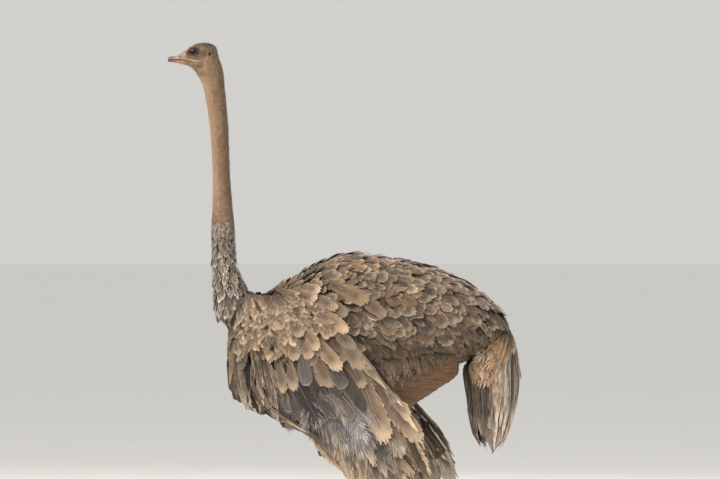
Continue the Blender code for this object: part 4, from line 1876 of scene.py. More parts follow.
@dataclass
class Leg:
    """One leg: wrinkled bare thigh and shank, plated tarsus, and two flat-soled toes."""

    side: str
    top: float = 0.700
    hidden_top: float = 0.835  # the thigh goes on up inside the flank's feathers to here
    toe_top: float = 0.058
    around: int = 72
    rows: int = 176
    wrinkle: float = 0.0008
    scute: float = 0.0145
    scute_rise: float = 0.0016
    toe_scute: float = 0.0105
    sole: float = 0.0003
    haunch: float = 0.046  # how far the thigh's rear swells back towards the tail, above the measured part

    def sleeve(self) -> Sleeve:
        """The leg's sleeve, from inside the trunk down to the toes."""
        solid = Solid(*(f"{part}_{self.side}" for part in ("thigh", "shank", "tarsus")))
        return Sleeve(solid, Axis.HEIGHT, self.top, self.toe_top, self.rows, self.around, 0.0006)

    def limb(self, sleeve: Sleeve) -> Thing:
        """Thigh, shank and tarsus, with their wrinkles and front plates.

        Args:
            sleeve: the sleeve round the limb's nodes.

        Returns:
            The closed mesh, with its marks.
        """
        places, out = self.raised(sleeve)
        z = places[..., 2]
        behind = ramp(0.0, 0.09, places[..., 1] - places[..., 1].mean(1, keepdims=True))
        swell = self.haunch * behind * ramp(0.668, 0.738, z) * (1 - ramp(0.79, 0.83, z))
        places = places + BACK * swell[..., None]
        x_off, y_off = np.moveaxis(places - places.mean(1, keepdims=True), -1, 0)[:2]
        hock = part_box(f"shank_{self.side}")[0].z
        phase = 9.0 * np.sin(y_off * 16 + z * 5) + 4.0 * np.sin(x_off * 30 - z * 9)
        phase = phase + 2.6 * np.sin(y_off * 47 + z * 60)
        wavy = np.sin(z * math.tau / 0.0165 + phase * 0.20)
        wavy = wavy + 0.7 * np.sin(z * math.tau / 0.0105 + phase * 0.34)
        soft = ramp(hock + 0.02, hock + 0.07, z)
        shift = self.wrinkle * wavy * soft
        front = np.arctan2(np.abs(x_off), -y_off)
        plated = (1 - ramp(0.75, 1.05, front)) * (1 - ramp(hock - 0.02, hock + 0.01, z))
        cycle = (z / self.scute + 0.35 * np.abs(x_off) / 0.02) % 1.0
        tile = ramp(0.0, 0.14, cycle) * (1 - 0.55 * cycle)
        shift = shift + self.scute_rise * plated * (tile - 0.35)
        knob = bell(z - hock, 0.022) * (0.0022 + 0.0016 * np.sin(4 * np.arctan2(x_off, y_off)))
        shift = shift + knob
        limb = tube_object("limb", places + out * shift[..., None])
        crease = (1 - ramp(0.0, 0.12, np.minimum(cycle, 1 - cycle))) * plated
        height = points_of(limb)[:, 2]
        give_values(limb, crease=np.concatenate([crease.ravel() * 0.9, [0, 0]]))
        give_values(limb, horny=1 - ramp(hock - 0.02, hock + 0.06, height))
        give_values(limb, warm=ramp(hock + 0.03, hock + 0.12, height))
        return limb

    def raised(self, sleeve: Sleeve) -> tuple[Array, Array]:
        """The sleeve's rings and outward directions, carried on up into the trunk.

        Args:
            sleeve: the sleeve round the limb's nodes.

        Returns:
            Points of every ring, and the way out at each.
        """
        first, last = sleeve.skin[0], sleeve.skin[-1]
        middle, sole = first.mean(0), last.mean(0)
        rise = self.hidden_top - self.top
        count = int(rise / 0.0045)
        rings = [
            middle + (first - middle) * (1 - 0.22 * share**2.2) + (0.0, 0.034 * share, share * rise)
            for share in np.linspace(1, 0, count, endpoint=False)
        ]
        foot = [
            sole + (last - sole) * (1 - 0.35 * share**2) - (0, 0, 0.020 * share) for share in (0.35, 0.7, 1.0)
        ]
        ways = [[sleeve.outward[0]] * count, sleeve.outward, [sleeve.outward[-1]] * len(foot)]
        return np.concatenate([rings, sleeve.skin, foot]), np.concatenate(ways)

    def toe(self, name: str, rows: int) -> Thing:
        """One toe with plates across its top, pads below and a flat sole.

        Args:
            name: the name of the toe, without its side.
            rows: how many rings along it.

        Returns:
            The closed mesh, with its marks.
        """
        node = f"{name}_{self.side}"
        low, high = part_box(node)
        edge = 0.0025
        sleeve = Sleeve(Solid(node), Axis.LENGTH, high.y - edge, low.y + edge, rows, 36, 0.0004, blur=1)
        places, out = sleeve.skin.copy(), sleeve.outward
        y, z = places[..., 1], places[..., 2]
        x_off = places[..., 0] - places[..., 0].mean(1, keepdims=True)
        top = ramp(0.35, 0.75, out[..., 2])
        cycle = (y / self.toe_scute + 0.25 * np.abs(x_off) / 0.02) % 1.0
        tile = ramp(0.0, 0.16, 1 - cycle) * (0.45 + 0.55 * cycle)
        shift = 0.0013 * top * (tile - 0.4)
        pads = 0.0012 * np.sin(y * math.tau / 0.031) * (1 - top) * ramp(0.004, 0.012, z)
        places = places + out * (shift + pads)[..., None]
        places[..., 2] = np.where(z < 0.0035, np.maximum(z, self.sole), places[..., 2])
        made = rested(tube_object(f"{name}_flesh", domed(places)), self.sole)
        crease = (1 - ramp(0.0, 0.14, np.minimum(cycle, 1 - cycle))) * top
        give_values(made, crease=between_domes(made, crease * 0.9), horny=1.0)
        return made

    def claw(self, finish: Material) -> Thing:
        """The big toe's blunt nail, arched and ridged.

        Args:
            finish: the finish that dresses it.

        Returns:
            The finished nail.
        """
        node, edge, around = f"claw_{self.side}", 0.0012, 48
        low, high = box_of(node)
        sleeve = Sleeve(Solid(node), Axis.LENGTH, high[1] - edge, low[1] + edge, 40, around, 0.0, blur=1)
        lines = 0.00022 * np.sin(np.arange(around) * math.tau / 4)
        rings = domed(sleeve.skin + sleeve.outward * lines[None, :, None])
        made = rested(tube_object(f"nail_{self.side}", rings), 0.0004)
        give_values(made, tip=1 - ramp(low[1], low[1] + 0.02, points_of(made)[:, 1]), crease=0.0)
        return dressed(enrolled(made, "horn", node), finish)


def rested(thing: Thing, lowest: float) -> Thing:
    """Press the object's points up to a height over the floor.

    Args:
        thing: the object to work on.
        lowest: the least height that a point may have.

    Returns:
        The same object.
    """
    found = points_of(thing)
    found[:, 2] = np.maximum(found[:, 2], lowest)
    move_points(thing, found)
    return thing


def between_domes(thing: Thing, values: Array) -> Array:
    """Values of a domed mesh's own rings, with nothing on its ends.

    Args:
        thing: the object to work on.
        values: the rings' values.

    Returns:
        Values for every ring.
    """
    found = np.zeros(len(thing.data.vertices))
    start = 4 * values.shape[1]
    found[start : start + values.size] = values.ravel()
    return found


def oval(y: Array, z: Array, place: tuple[float, float], size: tuple[float, float]) -> Array:
    """A smooth bump over an oval patch of the head's side."""
    return bell(np.hypot((y - place[0]) / size[0], (z - place[1]) / size[1]), 1.0)


@dataclass
class Skin:
    """The bird's hide as one closed surface: head, neck, body, wing bones, legs and toes."""

    eyes: Eyes
    form: BodyForm = field(default_factory=BodyForm)
    trunk: Sleeve = field(init=False)
    base: Sleeve = field(init=False)
    head: HeadForm = field(init=False)
    neck: Neck = field(init=False)

    def __post_init__(self) -> None:
        """Measure the sleeves that the coat is planted on."""
        self.trunk, self.base = self.form.trunk(), self.form.base()
        self.head = HeadForm(self.eyes)
        self.neck = Neck(self.head)

    def upper(self) -> Thing:
        """Head and bare neck, fused, refined over the head and creased.

        Returns:
            The closed mesh.
        """
        fused = joined("skin", [self.neck.column(), *self.head.lumps()])
        remeshed(fused, self.head.voxel, 7)
        limit = float(self.head.middle[2] + self.head.fine_from)
        smooth = functools.partial(bmesh.ops.smooth_vert, use_axis_x=True, use_axis_y=True, use_axis_z=True)
        with edited(fused.data) as shape:
            throat = [vertex for vertex in shape.verts if limit - 0.06 < vertex.co.z < limit + 0.035]
            for _ in range(14):
                smooth(shape, verts=throat, factor=0.6)
            chosen = [edge for edge in shape.edges if min(vertex.co.z for vertex in edge.verts) > limit]
            bmesh.ops.subdivide_edges(shape, edges=chosen, cuts=1, use_grid_fill=True)
            fine = [vertex for vertex in shape.verts if vertex.co.z > limit]
            for _ in range(3):
                smooth(shape, verts=fine, factor=0.5)
        fused.data.update()
        self.neck.folded(fused)
        self.head.creased(fused)
        return fused

    def marked(self, thing: Thing) -> None:
        """Lay colours on the hide: paler cheeks, dark lids and crown, painted light down the front of the
        neck, painted shade down its back and on the skin under the coat.

        Args:
            thing: the mesh to change.
        """
        places, out = points_of(thing), normals_of(thing)
        middle = self.head.middle
        y, z = places[:, 1] - middle[1], places[:, 2] - middle[2]
        side = np.abs(places[:, 0])
        on_head = ramp(-0.12, -0.06, z)
        # The front of the neck is made paler: painted light.
        front = ramp(0.1, 0.8, -out[:, 1])
        throat = front * (1 - on_head) * ramp(1.30, 1.45, places[:, 2])
        cheek = oval(y, z, (0.046, -0.051), (0.016, 0.014)) * ramp(0.012, 0.02, side)
        lore = oval(y, z, (-0.034, -0.0065), (0.010, 0.011))
        lip = bell(z - self.head.mouth_line(y) - 0.0050, 0.0036)
        lip = lip * ramp(-0.048, -0.036, y) * (1 - ramp(0.016, 0.030, y))
        crescent = bell(np.hypot(y - 0.022, z + 0.012) - 0.030, 0.0045)
        crescent = crescent * ramp(-0.030, 0.000, y - 0.5 * z - 0.030)
        brow = oval(y, z, (0.004, 0.019), (0.024, 0.0055)) * ramp(0.02, 0.03, side)
        under = oval(y, z, (0.012, -0.030), (0.030, 0.007)) * ramp(0.012, 0.02, side)
        bright = 0.8 * cheek + 1.1 * lore + 0.75 * brow + 0.4 * under + 1.1 * lip + 0.7 * crescent
        pale = np.clip(0.8 * throat + on_head * bright, 0, 1)
        crown = on_head * ramp(0.010, 0.028, z - 0.25 * np.abs(y)) * ramp(-0.015, 0.01, y) * 0.60
        # The back of the neck is made darker: painted shade.
        nape = ramp(-0.35, 0.75, out[:, 1]) * (1 - on_head) * ramp(1.3, 1.45, places[:, 2]) * 0.46
        behind = oval(y, z, (0.042, 0.001), (0.022, 0.014)) * on_head * 0.55
        behind = behind + 0.26 * ramp(-0.026, 0.002, z) * ramp(-0.010, 0.014, y) * on_head
        lids, thigh = read_values(thing, "lids"), read_values(thing, "warm")
        # The body's skin under the coat is marked for painted shade.
        body = (1 - ramp(1.23, 1.29, places[:, 2])) * (places[:, 2] > 0.50)
        dark = np.clip(crown + nape + behind + 1.15 * lids**0.7, 0, 1)
        give_values(thing, pale=pale, dark=dark, covered=np.where(thigh < 0.01, body, 0.0))

    def build(self, finish: SkinFinish) -> Thing:
        """Unite all the flesh and dress it.

        Args:
            finish: the finish that dresses it.

        Returns:
            The one mesh of skin.
        """
        skin = self.upper()
        others = [self.form.fused(self.trunk, self.base)]
        for leg in map(Leg, SIDES):
            others += [leg.limb(leg.sleeve()), leg.toe("toe_inner", 84), leg.toe("toe_outer", 56)]
        rims = self.head.lid_rims()
        for thing in (skin, *others, *rims):
            give_values(thing, **{name: 0.0 for name in MARKS if name not in thing.data.attributes})
        for rim in rims:
            give_values(rim, lids=1.0)
        united(skin, others)
        skin = joined("skin", [skin, *rims])
        skin.data.shade_smooth()
        self.marked(skin)
        return dressed(enrolled(skin, "bare_skin", *FLESH), finish.material())


# Horn ------------------------------------------------------------------------------------------


@dataclass
class Bill:
    """Flat broad bill: a culmen plate between grooves, slit nostrils, a worn nail, and a lower half."""

    middle: Array
    rows: int = 110
    around: int = 96
    culmen: float = 0.0062  # half width of the plate along the top
    groove: float = 0.0007
    nostril_place: tuple[float, float] = (-0.0510, -0.0165)
    nostril_size: tuple[float, float] = (0.0066, 0.0021)
    nostril_depth: float = 0.0032
    nail: float = 0.017
    lip: float = 0.0006
    tuck: float = 0.012  # length at the root that narrows to slip under the skin
    tuck_depth: float = 0.0015
    shut: float = 0.0020  # how far the lower half closes into the upper
    dip: float = 0.0080  # how far the bill's top sinks between its nail and its root
    dip_place: float = 0.039

    def sections(self, node: str) -> tuple[Array, Array, Array, Array]:
        """Places along the bill with half width, top and bottom at each.

        Args:
            node: the solid node to measure.

        Returns:
            Four tables, one entry for each place.
        """
        low, high = box_of(node)
        places = low[1] + 0.0004 + (high[1] - low[1] - 0.0008) * (np.linspace(0, 1, self.rows) ** 1.5)
        found = Solid(node).slices(1, places)
        return places, *blurred(found[:, [3, 5, 2]], 2, wrap=False).T

    def rings(self, node: str, upper: bool) -> tuple[Array, Array]:
        """Rings of one half of the bill, and the way out at each point.

        Args:
            node: the solid node that gives the size.
            upper: true for the upper half.

        Returns:
            Points of every ring, and the way out at each.
        """
        places, wide, top, bottom = self.sections(node)
        cos, sin = circle(self.around)
        seam, over, under = (0.28, 0.92, 0.55) if upper else (0.72, 0.55, 0.92)
        root = ramp(places[-1] - self.tuck, places[-1], places)
        wide = wide - self.tuck_depth * root
        if upper:
            dip = self.dip * bell(places - places[0] - self.dip_place, 0.021)
            top = top - self.tuck_depth * root - dip
        else:
            top, bottom = top + self.shut, bottom + self.tuck_depth * root
        waist = bottom + (top - bottom) * seam
        above, below = (top - waist)[:, None], (waist - bottom)[:, None]
        rise = np.where(sin > 0, above * np.abs(sin) ** over, -below * np.abs(sin) ** under)
        along = np.repeat(places[:, None], self.around, 1)
        rings = np.stack([wide[:, None] * powered(cos, 0.82), along, waist[:, None] + rise], -1)
        return rings, grid_outward(rings)

    def half(self, name: str, upper: bool, finish: HornFinish) -> Thing:
        """One half of the bill with its grooves, nail, lip and nostrils, dressed.

        Args:
            name: the name of the solid node.
            upper: true for the upper half.
            finish: the finish that dresses it.

        Returns:
            The finished half.
        """
        rings, out = self.rings(name, upper)
        x, y, z = np.abs(rings[..., 0]), rings[..., 1], rings[..., 2]
        facing = out[..., 2] if upper else -out[..., 2]
        tip, root = y.min(), y.max()
        above = ramp(0.1, 0.6, facing)
        run = (y - tip) / (root - tip)
        plate = self.culmen * (0.75 + 0.5 * run)
        furrow = bell(x - plate, 0.0011) * above * ramp(self.nail * 0.7, self.nail, y - tip)
        ridge = bell(x, 0.0035) * above * 0.0006
        nail_edge = bell(y - tip - self.nail + 0.35 * x, 0.0009) * above
        rim = bell(out[..., 2] - 0.05, 0.28) * ramp(0.0, 0.01, y - tip)
        shift = ridge - self.groove * furrow - 0.0005 * nail_edge + self.lip * rim
        # Furrows, the nail's edge and the faces turned in between the halves are painted darker: painted
        # shade.
        crease = 0.55 * furrow + 0.5 * nail_edge + ramp(0.35, 0.75, -facing)
        if upper:
            dy, dz = self.nostril_place
            back = y - self.middle[1] - dy
            away_z = (z - self.middle[2] - dz - 0.10 * back) / self.nostril_size[1]
            hole = np.hypot(back / self.nostril_size[0], away_z)
            flank = ramp(0.004, 0.008, x)
            opened = (1 - ramp(0.55, 1.15, hole)) * flank
            shift = shift + bell(hole - 1.45, 0.4) * 0.0006 * flank - self.nostril_depth * opened
            # The nostril's opening is painted dark: painted shade.
            crease = crease + opened * 1.2
        made = tube_object(f"{name}_horn", domed(rings + out * shift[..., None], 0.35))
        give_values(made, crease=between_domes(made, np.clip(crease, 0, 1)))
        give_values(made, tip=1 - ramp(tip + 0.010, tip + 0.040, points_of(made)[:, 1]))
        return dressed(enrolled(made, "horn", name), finish.material())


# Coat ------------------------------------------------------------------------------------------


@functools.cache
def material_of(finish: PlumageFinish | HairFinish) -> Material:
    """The finish's material, made once for all the pieces that wear it."""
    return finish.material()


@dataclass
class CoatPiece:
    """One coat piece: its feathers, gathered region by region, and the finish that they take."""

    name: str
    finish: PlumageFinish | HairFinish
    slot: str
    seed: int
    parts: list[tuple[Cut, Planting, float]] = field(default_factory=list)

    def __post_init__(self) -> None:
        """Start this piece's own run of choices."""
        self.rng = np.random.default_rng(self.seed)

    def add(
        self, cut: Cut, paths: Array, outward: Array, widths: Array, spots: Array, tone: Array,
        stain: Array, pale: Array, limp: float = 0.0, which: Array | slice = slice(None),
    ) -> None:
        """Add feathers of one cut.

        Args:
            cut: the cut of feather.
            paths: the shafts.
            outward: the outward direction along each.
            widths: full widths.
            spots: each root's place on the skin's unwrap.
            tone: how much lighter or darker each is.
            stain: how dusty orange each is.
            pale: how pale each one's rim and tip are.
            limp: how far barbs hang.
            which: those that are kept.
        """
        marks = {"tone": tone, "stain": stain, "pale": pale}
        self.parts.append((cut, Planting(paths, outward, widths, spots, marks).chosen(which), limp))

    def build(self) -> Thing:
        """Grow all the feathers as one dressed piece.

        Returns:
            The finished piece.
        """
        grown = [
            plant(f"{self.name}_{number}", cut.vanes(self.rng), planting, self.rng, limp)
            for number, (cut, planting, limp) in enumerate(self.parts)
        ]
        piece = joined(self.name, grown) if len(grown) > 1 else grown[0]
        piece.name = self.name
        piece.data.shade_smooth()
        return dressed(enrolled(piece, self.slot), material_of(self.finish))


@dataclass
class BodyCoat:
    """Scale-like feathers over the back and flanks, finer and hair-like lower down."""

    sleeve: Sleeve
    row: float = 0.0210  # metres between rows on the back
    beside: float = 0.0225
    shoulder_length: float = 0.066
    rump_length: float = 0.094
    slender: float = 0.47  # width over length
    low_length: float = 0.085
    belly_share: float = 0.54  # the belly's feathers are thinned to this

    def pieces(self, finish: PlumageFinish) -> list[CoatPiece]:
        """Back, both flanks and belly.

        Args:
            finish: the finish that dresses it.

        Returns:
            The pieces, ready to build.
        """
        rng = np.random.default_rng(11)
        down, turn = self.sleeve.cells(self.row, self.beside, rng).T
        turn = turn % 1.0
        skin, _, out = self.sleeve.ground(down, turn)
        under = self.beneath_wings(skin)
        rise = np.sin(turn * math.tau)
        back, belly = rise > 0.62, rise < -0.52
        left = ~back & ~belly & (out[:, 0] > 0)
        regions = {"back": back, "flank_left": left, "flank_right": ~(back | belly | left), "belly": belly}
        made = []
        for number, (name, region) in enumerate(regions.items()):
            piece = CoatPiece(f"coat_{name}", finish, "plumage", 100 + number)
            low = rise < -0.02 + 0.12 * ramp(0.55, 0.95, down) + 0.12 * rng.normal(size=len(rise))
            kept = region & (rng.uniform(size=len(rise)) < (self.belly_share if name == "belly" else 1.0))
            for fine in (False, True):
                chosen = kept & (low == fine)
                if chosen.any():
                    self.grow(piece, fine, down[chosen], turn[chosen], rise[chosen], under[chosen])
            made.append(piece)
        return made

    def beneath_wings(self, skin: Array) -> Array:
        """Whether roots lie under a wing, where feathers are pressed flat.

        Args:
            skin: the roots' places on the hide.

        Returns:
            True or false for each root.
        """
        found = np.zeros(len(skin), bool)
        for side, way in SIDES.items():
            low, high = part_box(f"wing_{side}")
            box = (skin[:, 1] < high.y - 0.09) & (skin[:, 2] < high.z - 0.02) & (skin[:, 2] > low.z)
            found |= box & (skin[:, 0] * way > 0.05) & (skin[:, 2] - low.z > 1.1 * (skin[:, 1] + 0.02))
        return found

    def grow(
        self, piece: CoatPiece, fine: bool, down: Array, turn: Array, rise: Array, under: Array
    ) -> None:
        """Plant one region's scale-like or finer feathers.

        Args:
            piece: the coat piece that takes the feathers.
            fine: true for the finer feathers.
            down: each root's share of the way along the trunk.
            turn: each root's share of the way round the trunk.
            rise: how far each feather stands off.
            under: how near each root is to the underside.
        """
        rng = piece.rng
        if fine:
            down, turn, rise, under = (np.repeat(values, 2) for values in (down, turn, rise, under))
        count = len(down)
        if fine:
            down = np.clip(down + rng.normal(0, 0.009, count), 0, 1)
            turn = turn + rng.normal(0, 0.006, count)
        droop = 0.06 + 0.62 * (1 - ramp(0.30, 0.95, rise))
        droop = droop + 0.45 * (1 - ramp(-0.45, 0.05, rise)) * ramp(-0.95, -0.5, rise)
        droop = droop + 0.75 * ramp(0.74, 1.0, down)
        ruffle = 0.16 * np.sin(down * 23 + 5 * np.sin(turn * 19))
        ruffle = ruffle * np.sin(turn * 31 + 4 * np.sin(down * 11))
        lies = BACK + DOWN * (droop + ruffle + rng.normal(0, 0.22, count))[:, None]
        lies = lies + ACROSS * rng.normal(0, 0.18, count)[:, None]
        lengths = self.shoulder_length + (self.rump_length - self.shoulder_length) * ramp(0.0, 0.8, down)
        lengths = np.where(fine, self.low_length, lengths) * rng.uniform(0.62, 1.30, count)
        fill = np.where(fine, 0.86, 0.92) * rng.uniform(0.72, 1.08, count) * np.where(under, 0.35, 1.0)
        paths, outward = self.sleeve.courses(down, turn, unit(lies), lengths, fill, 0.05)
        widths = lengths * (0.27 if fine else self.slender) * rng.uniform(0.72, 1.20, count)
        patch = np.sin(down * 17 + 3 * np.sin(turn * 29)) * np.sin(turn * 41 + 2 * np.sin(down * 13))
        stain = varied(rng, count, 0.34 + 0.22 * ramp(0.5, 0.9, rise) + 0.40 * patch, 0.36)
        # Feathers are made darker the lower they sit on the trunk: painted shade under the body.
        shade = -0.24 - 0.26 * (1 - ramp(-0.60, 0.0, rise)) if fine else -0.20 * (1 - ramp(-0.1, 0.6, rise))
        tone = shade + 0.24 * rng.normal(size=count)
        pale = 0.46 + 0.42 * rng.normal(size=count) + 0.30 * ramp(0.55, 0.9, down) * ramp(0.0, 0.6, rise)
        pale = np.clip(pale - (0.25 if fine else 0.0), 0.0, 1.0)
        spots = np.stack([down * 0.98 + 0.01, turn % 1.0], -1)
        cut = Cut.FINE if fine else Cut.SCALE
        piece.add(cut, paths, outward, widths, spots, tone, stain, pale, 0.10 if fine else 0.0)


class Hide:
    """The finished skin as ground for hairs and loose feathers."""

    def __init__(self, skin: Thing) -> None:
        """Take the skin's triangles.

        Args:
            skin: the one mesh of skin.
        """
        skin.data.calc_loop_triangles()
        corners = read_items(skin.data.loop_triangles, "vertices", 3, np.int32)
        self.corners, self.normals = points_of(skin)[corners], normals_of(skin)[corners]
        first, second, third = self.corners.transpose(1, 0, 2)
        self.areas = np.linalg.norm(np.cross(second - first, third - first), axis=1) / 2

    def scatter(
        self, crowding: Callable[[Array, Array], Array], rng: Rng
    ) -> tuple[Array, Array]:
        """Places strewn over the skin.

        Args:
            crowding: how many to a square metre, at places that face some way.
            rng: the source of the choices.

        Returns:
            The places, and the outward direction at each.
        """
        wanted = crowding(self.corners.mean(1), unit(self.normals.mean(1))) * self.areas
        which = np.repeat(np.arange(len(wanted)), rng.poisson(wanted))
        mix = rng.dirichlet((1, 1, 1), len(which))[..., None]
        return (self.corners[which] * mix).sum(1), unit((self.normals[which] * mix).sum(1))


@dataclass
class ThighCoat:
    """Hair-like feathers that run from the flank down over the top of a thigh."""

    side: str
    hide: Hide
    crowding: float = 11000.0  # to a square metre
    length: float = 0.062
    front_hem: float = 0.700
    rear_hem: float = 0.785
    top: float = 0.850

    def hem(self, places: Array) -> Array:
        """How low the feathers reach, from the thigh's front to its rear."""
        low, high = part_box(f"thigh_{self.side}")
        return self.front_hem + (self.rear_hem - self.front_hem) * ramp(low.y + 0.16, high.y, places[:, 1])

    def pieces(self, finish: PlumageFinish) -> list[CoatPiece]:
        """The thigh's one coat piece.

        Args:
            finish: the finish that dresses it.

        Returns:
            The piece, ready to build.
        """
        piece = CoatPiece(f"coat_thigh_{self.side}", finish, "plumage", 160 if self.side == "left" else 161)
        rng = piece.rng
        way = SIDES[self.side]
        low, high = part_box(f"thigh_{self.side}")

        def crowding(places: Array, _: Array) -> Array:
            """Full above the hem, on this thigh alone."""
            x, y, z = places.T
            tip = z - 0.75 * self.length
            inside = (x * way > 0.03) & (y > low.y - 0.02) & (y < high.y + 0.05)
            return self.crowding * inside * (z < self.top) * (tip > self.hem(places) - 0.012)

        roots, out = self.hide.scatter(crowding, rng)
        count = len(roots)
        lengths = self.length * rng.uniform(0.65, 1.25, count)
        lies = unit(DOWN + BACK * 0.40 + rng.normal(0, 0.16, (count, 3)))
        paths, outward = short_courses(roots, lies, out, lengths, 0.34, 0.30)
        tone = -0.36 + 0.26 * rng.normal(size=count)
        stain, pale = varied(rng, count, 0.40, 0.35), varied(rng, count, 0.25, 0.35)
        spots = np.clip(np.stack([(roots[:, 1] - low.y) / 0.5, (roots[:, 2] - 0.6) / 0.3], -1), 0, 1)
        piece.add(Cut.FINE, paths, outward, lengths * 0.26, spots, tone, stain, pale, 0.1)
        return [piece]


@dataclass(frozen=True)
class LooseCoat:
    """Feathers strewn on a patch of the finished skin that no sleeve reaches."""

    name: str
    seed: int
    cut: Cut
    low: tuple[float, float, float]
    high: tuple[float, float, float]
    fade: float  # the patch thins out over this distance under its top
    crowding: float  # to a square metre
    length: float
    slender: float
    lie: tuple[float, float, float]
    rise: float
    tone: float
    stain: float
    pale: float

    def piece(self, hide: Hide, finish: PlumageFinish) -> CoatPiece:
        """The patch's coat piece.

        Args:
            hide: the flesh that the feathers grow on.
            finish: the finish that dresses it.

        Returns:
            The piece, ready to build.
        """
        made = CoatPiece(self.name, finish, "plumage", self.seed)
        rng = made.rng
        low, high = np.array(self.low), np.array(self.high)

        def crowding(places: Array, _: Array) -> Array:
            """Full inside the patch."""
            inside = ((places > low) & (places < high)).all(1)
            return self.crowding * inside * ramp(0.0, self.fade, high[2] - places[:, 2])

        roots, out = hide.scatter(crowding, rng)
        count = len(roots)
        lengths = self.length * rng.uniform(0.7, 1.3, count)
        lies = unit(np.array(self.lie) + rng.normal(0, 0.18, (count, 3)))
        rise = self.rise * rng.uniform(0.7, 1.3, count)
        paths, outward = short_courses(roots, lies, out, lengths, rise, 0.25)
        tone = self.tone + 0.30 * rng.normal(size=count)
        stain, pale = (varied(rng, count, mean, 0.30) for mean in (self.stain, self.pale))
        spots = np.clip((roots - low) / (high - low), 0, 1)[:, (1, 2)] * 0.48
        spots[:, 0] += np.where(roots[:, 0] > 0, 0.0, 0.5)
        made.add(self.cut, paths, outward, lengths * self.slender, spots, tone, stain, pale, 0.1)
        return made


@dataclass
class NeckCoat:
    """Short speckled feathers that thicken down the neck's base."""

    sleeve: Sleeve
    row: float = 0.0088
    beside: float = 0.0095
    top_length: float = 0.017
    foot_length: float = 0.060

    def pieces(self, finish: PlumageFinish) -> list[CoatPiece]:
        """The neck base's one coat piece.

        Args:
            finish: the finish that dresses it.

        Returns:
            The piece, ready to build.
        """
        piece = CoatPiece("coat_neck", finish, "plumage", 140)
        rng = piece.rng
        down, turn = self.sleeve.cells(self.row, self.beside, rng, 0.5).T
        down, turn = down * 1.02 - 0.01, turn % 1.0
        keep = rng.uniform(size=len(down)) < ramp(-0.08, 0.22, down) - 0.66 * ramp(0.35, 0.90, down)
        down, turn = down[keep], turn[keep]
        count = len(down)
        lies = DOWN + BACK * (0.10 + 0.25 * ramp(0.4, 1.0, down))[:, None]
        lies = lies + rng.normal(0, 0.16, (count, 3))
        lengths = self.top_length + (self.foot_length - self.top_length) * ramp(0.20, 0.95, down)
        lengths = lengths * rng.uniform(0.8, 1.3, count)
        fill = 0.92 * rng.uniform(0.7, 1.1, count)
        paths, outward = self.sleeve.courses(down, turn, unit(lies), lengths, fill, 0.15)
        widths = lengths * (0.34 + 0.06 * ramp(0.2, 1, down)) * rng.uniform(0.75, 1.15, count)
        pale = varied(rng, count, 0.60, 0.40)
        tone = 0.30 * rng.normal(size=count) + 0.10 * (1 - ramp(0.3, 0.9, down))
        stain = varied(rng, count, 0.15, 0.35, 0.8)
        spots = np.stack([np.clip(down, 0, 1) * 0.98 + 0.01, turn], -1)
        loose = rng.uniform(size=count) < 0.80 - 0.35 * ramp(0.6, 1.0, down)
        for cut, narrow, chosen in ((Cut.FINE, 0.85, loose), (Cut.SCALE, 1.0, ~loose)):
            piece.add(cut, paths, outward, widths * narrow, spots, tone, stain, pale, 0.1, chosen)
        return [piece]


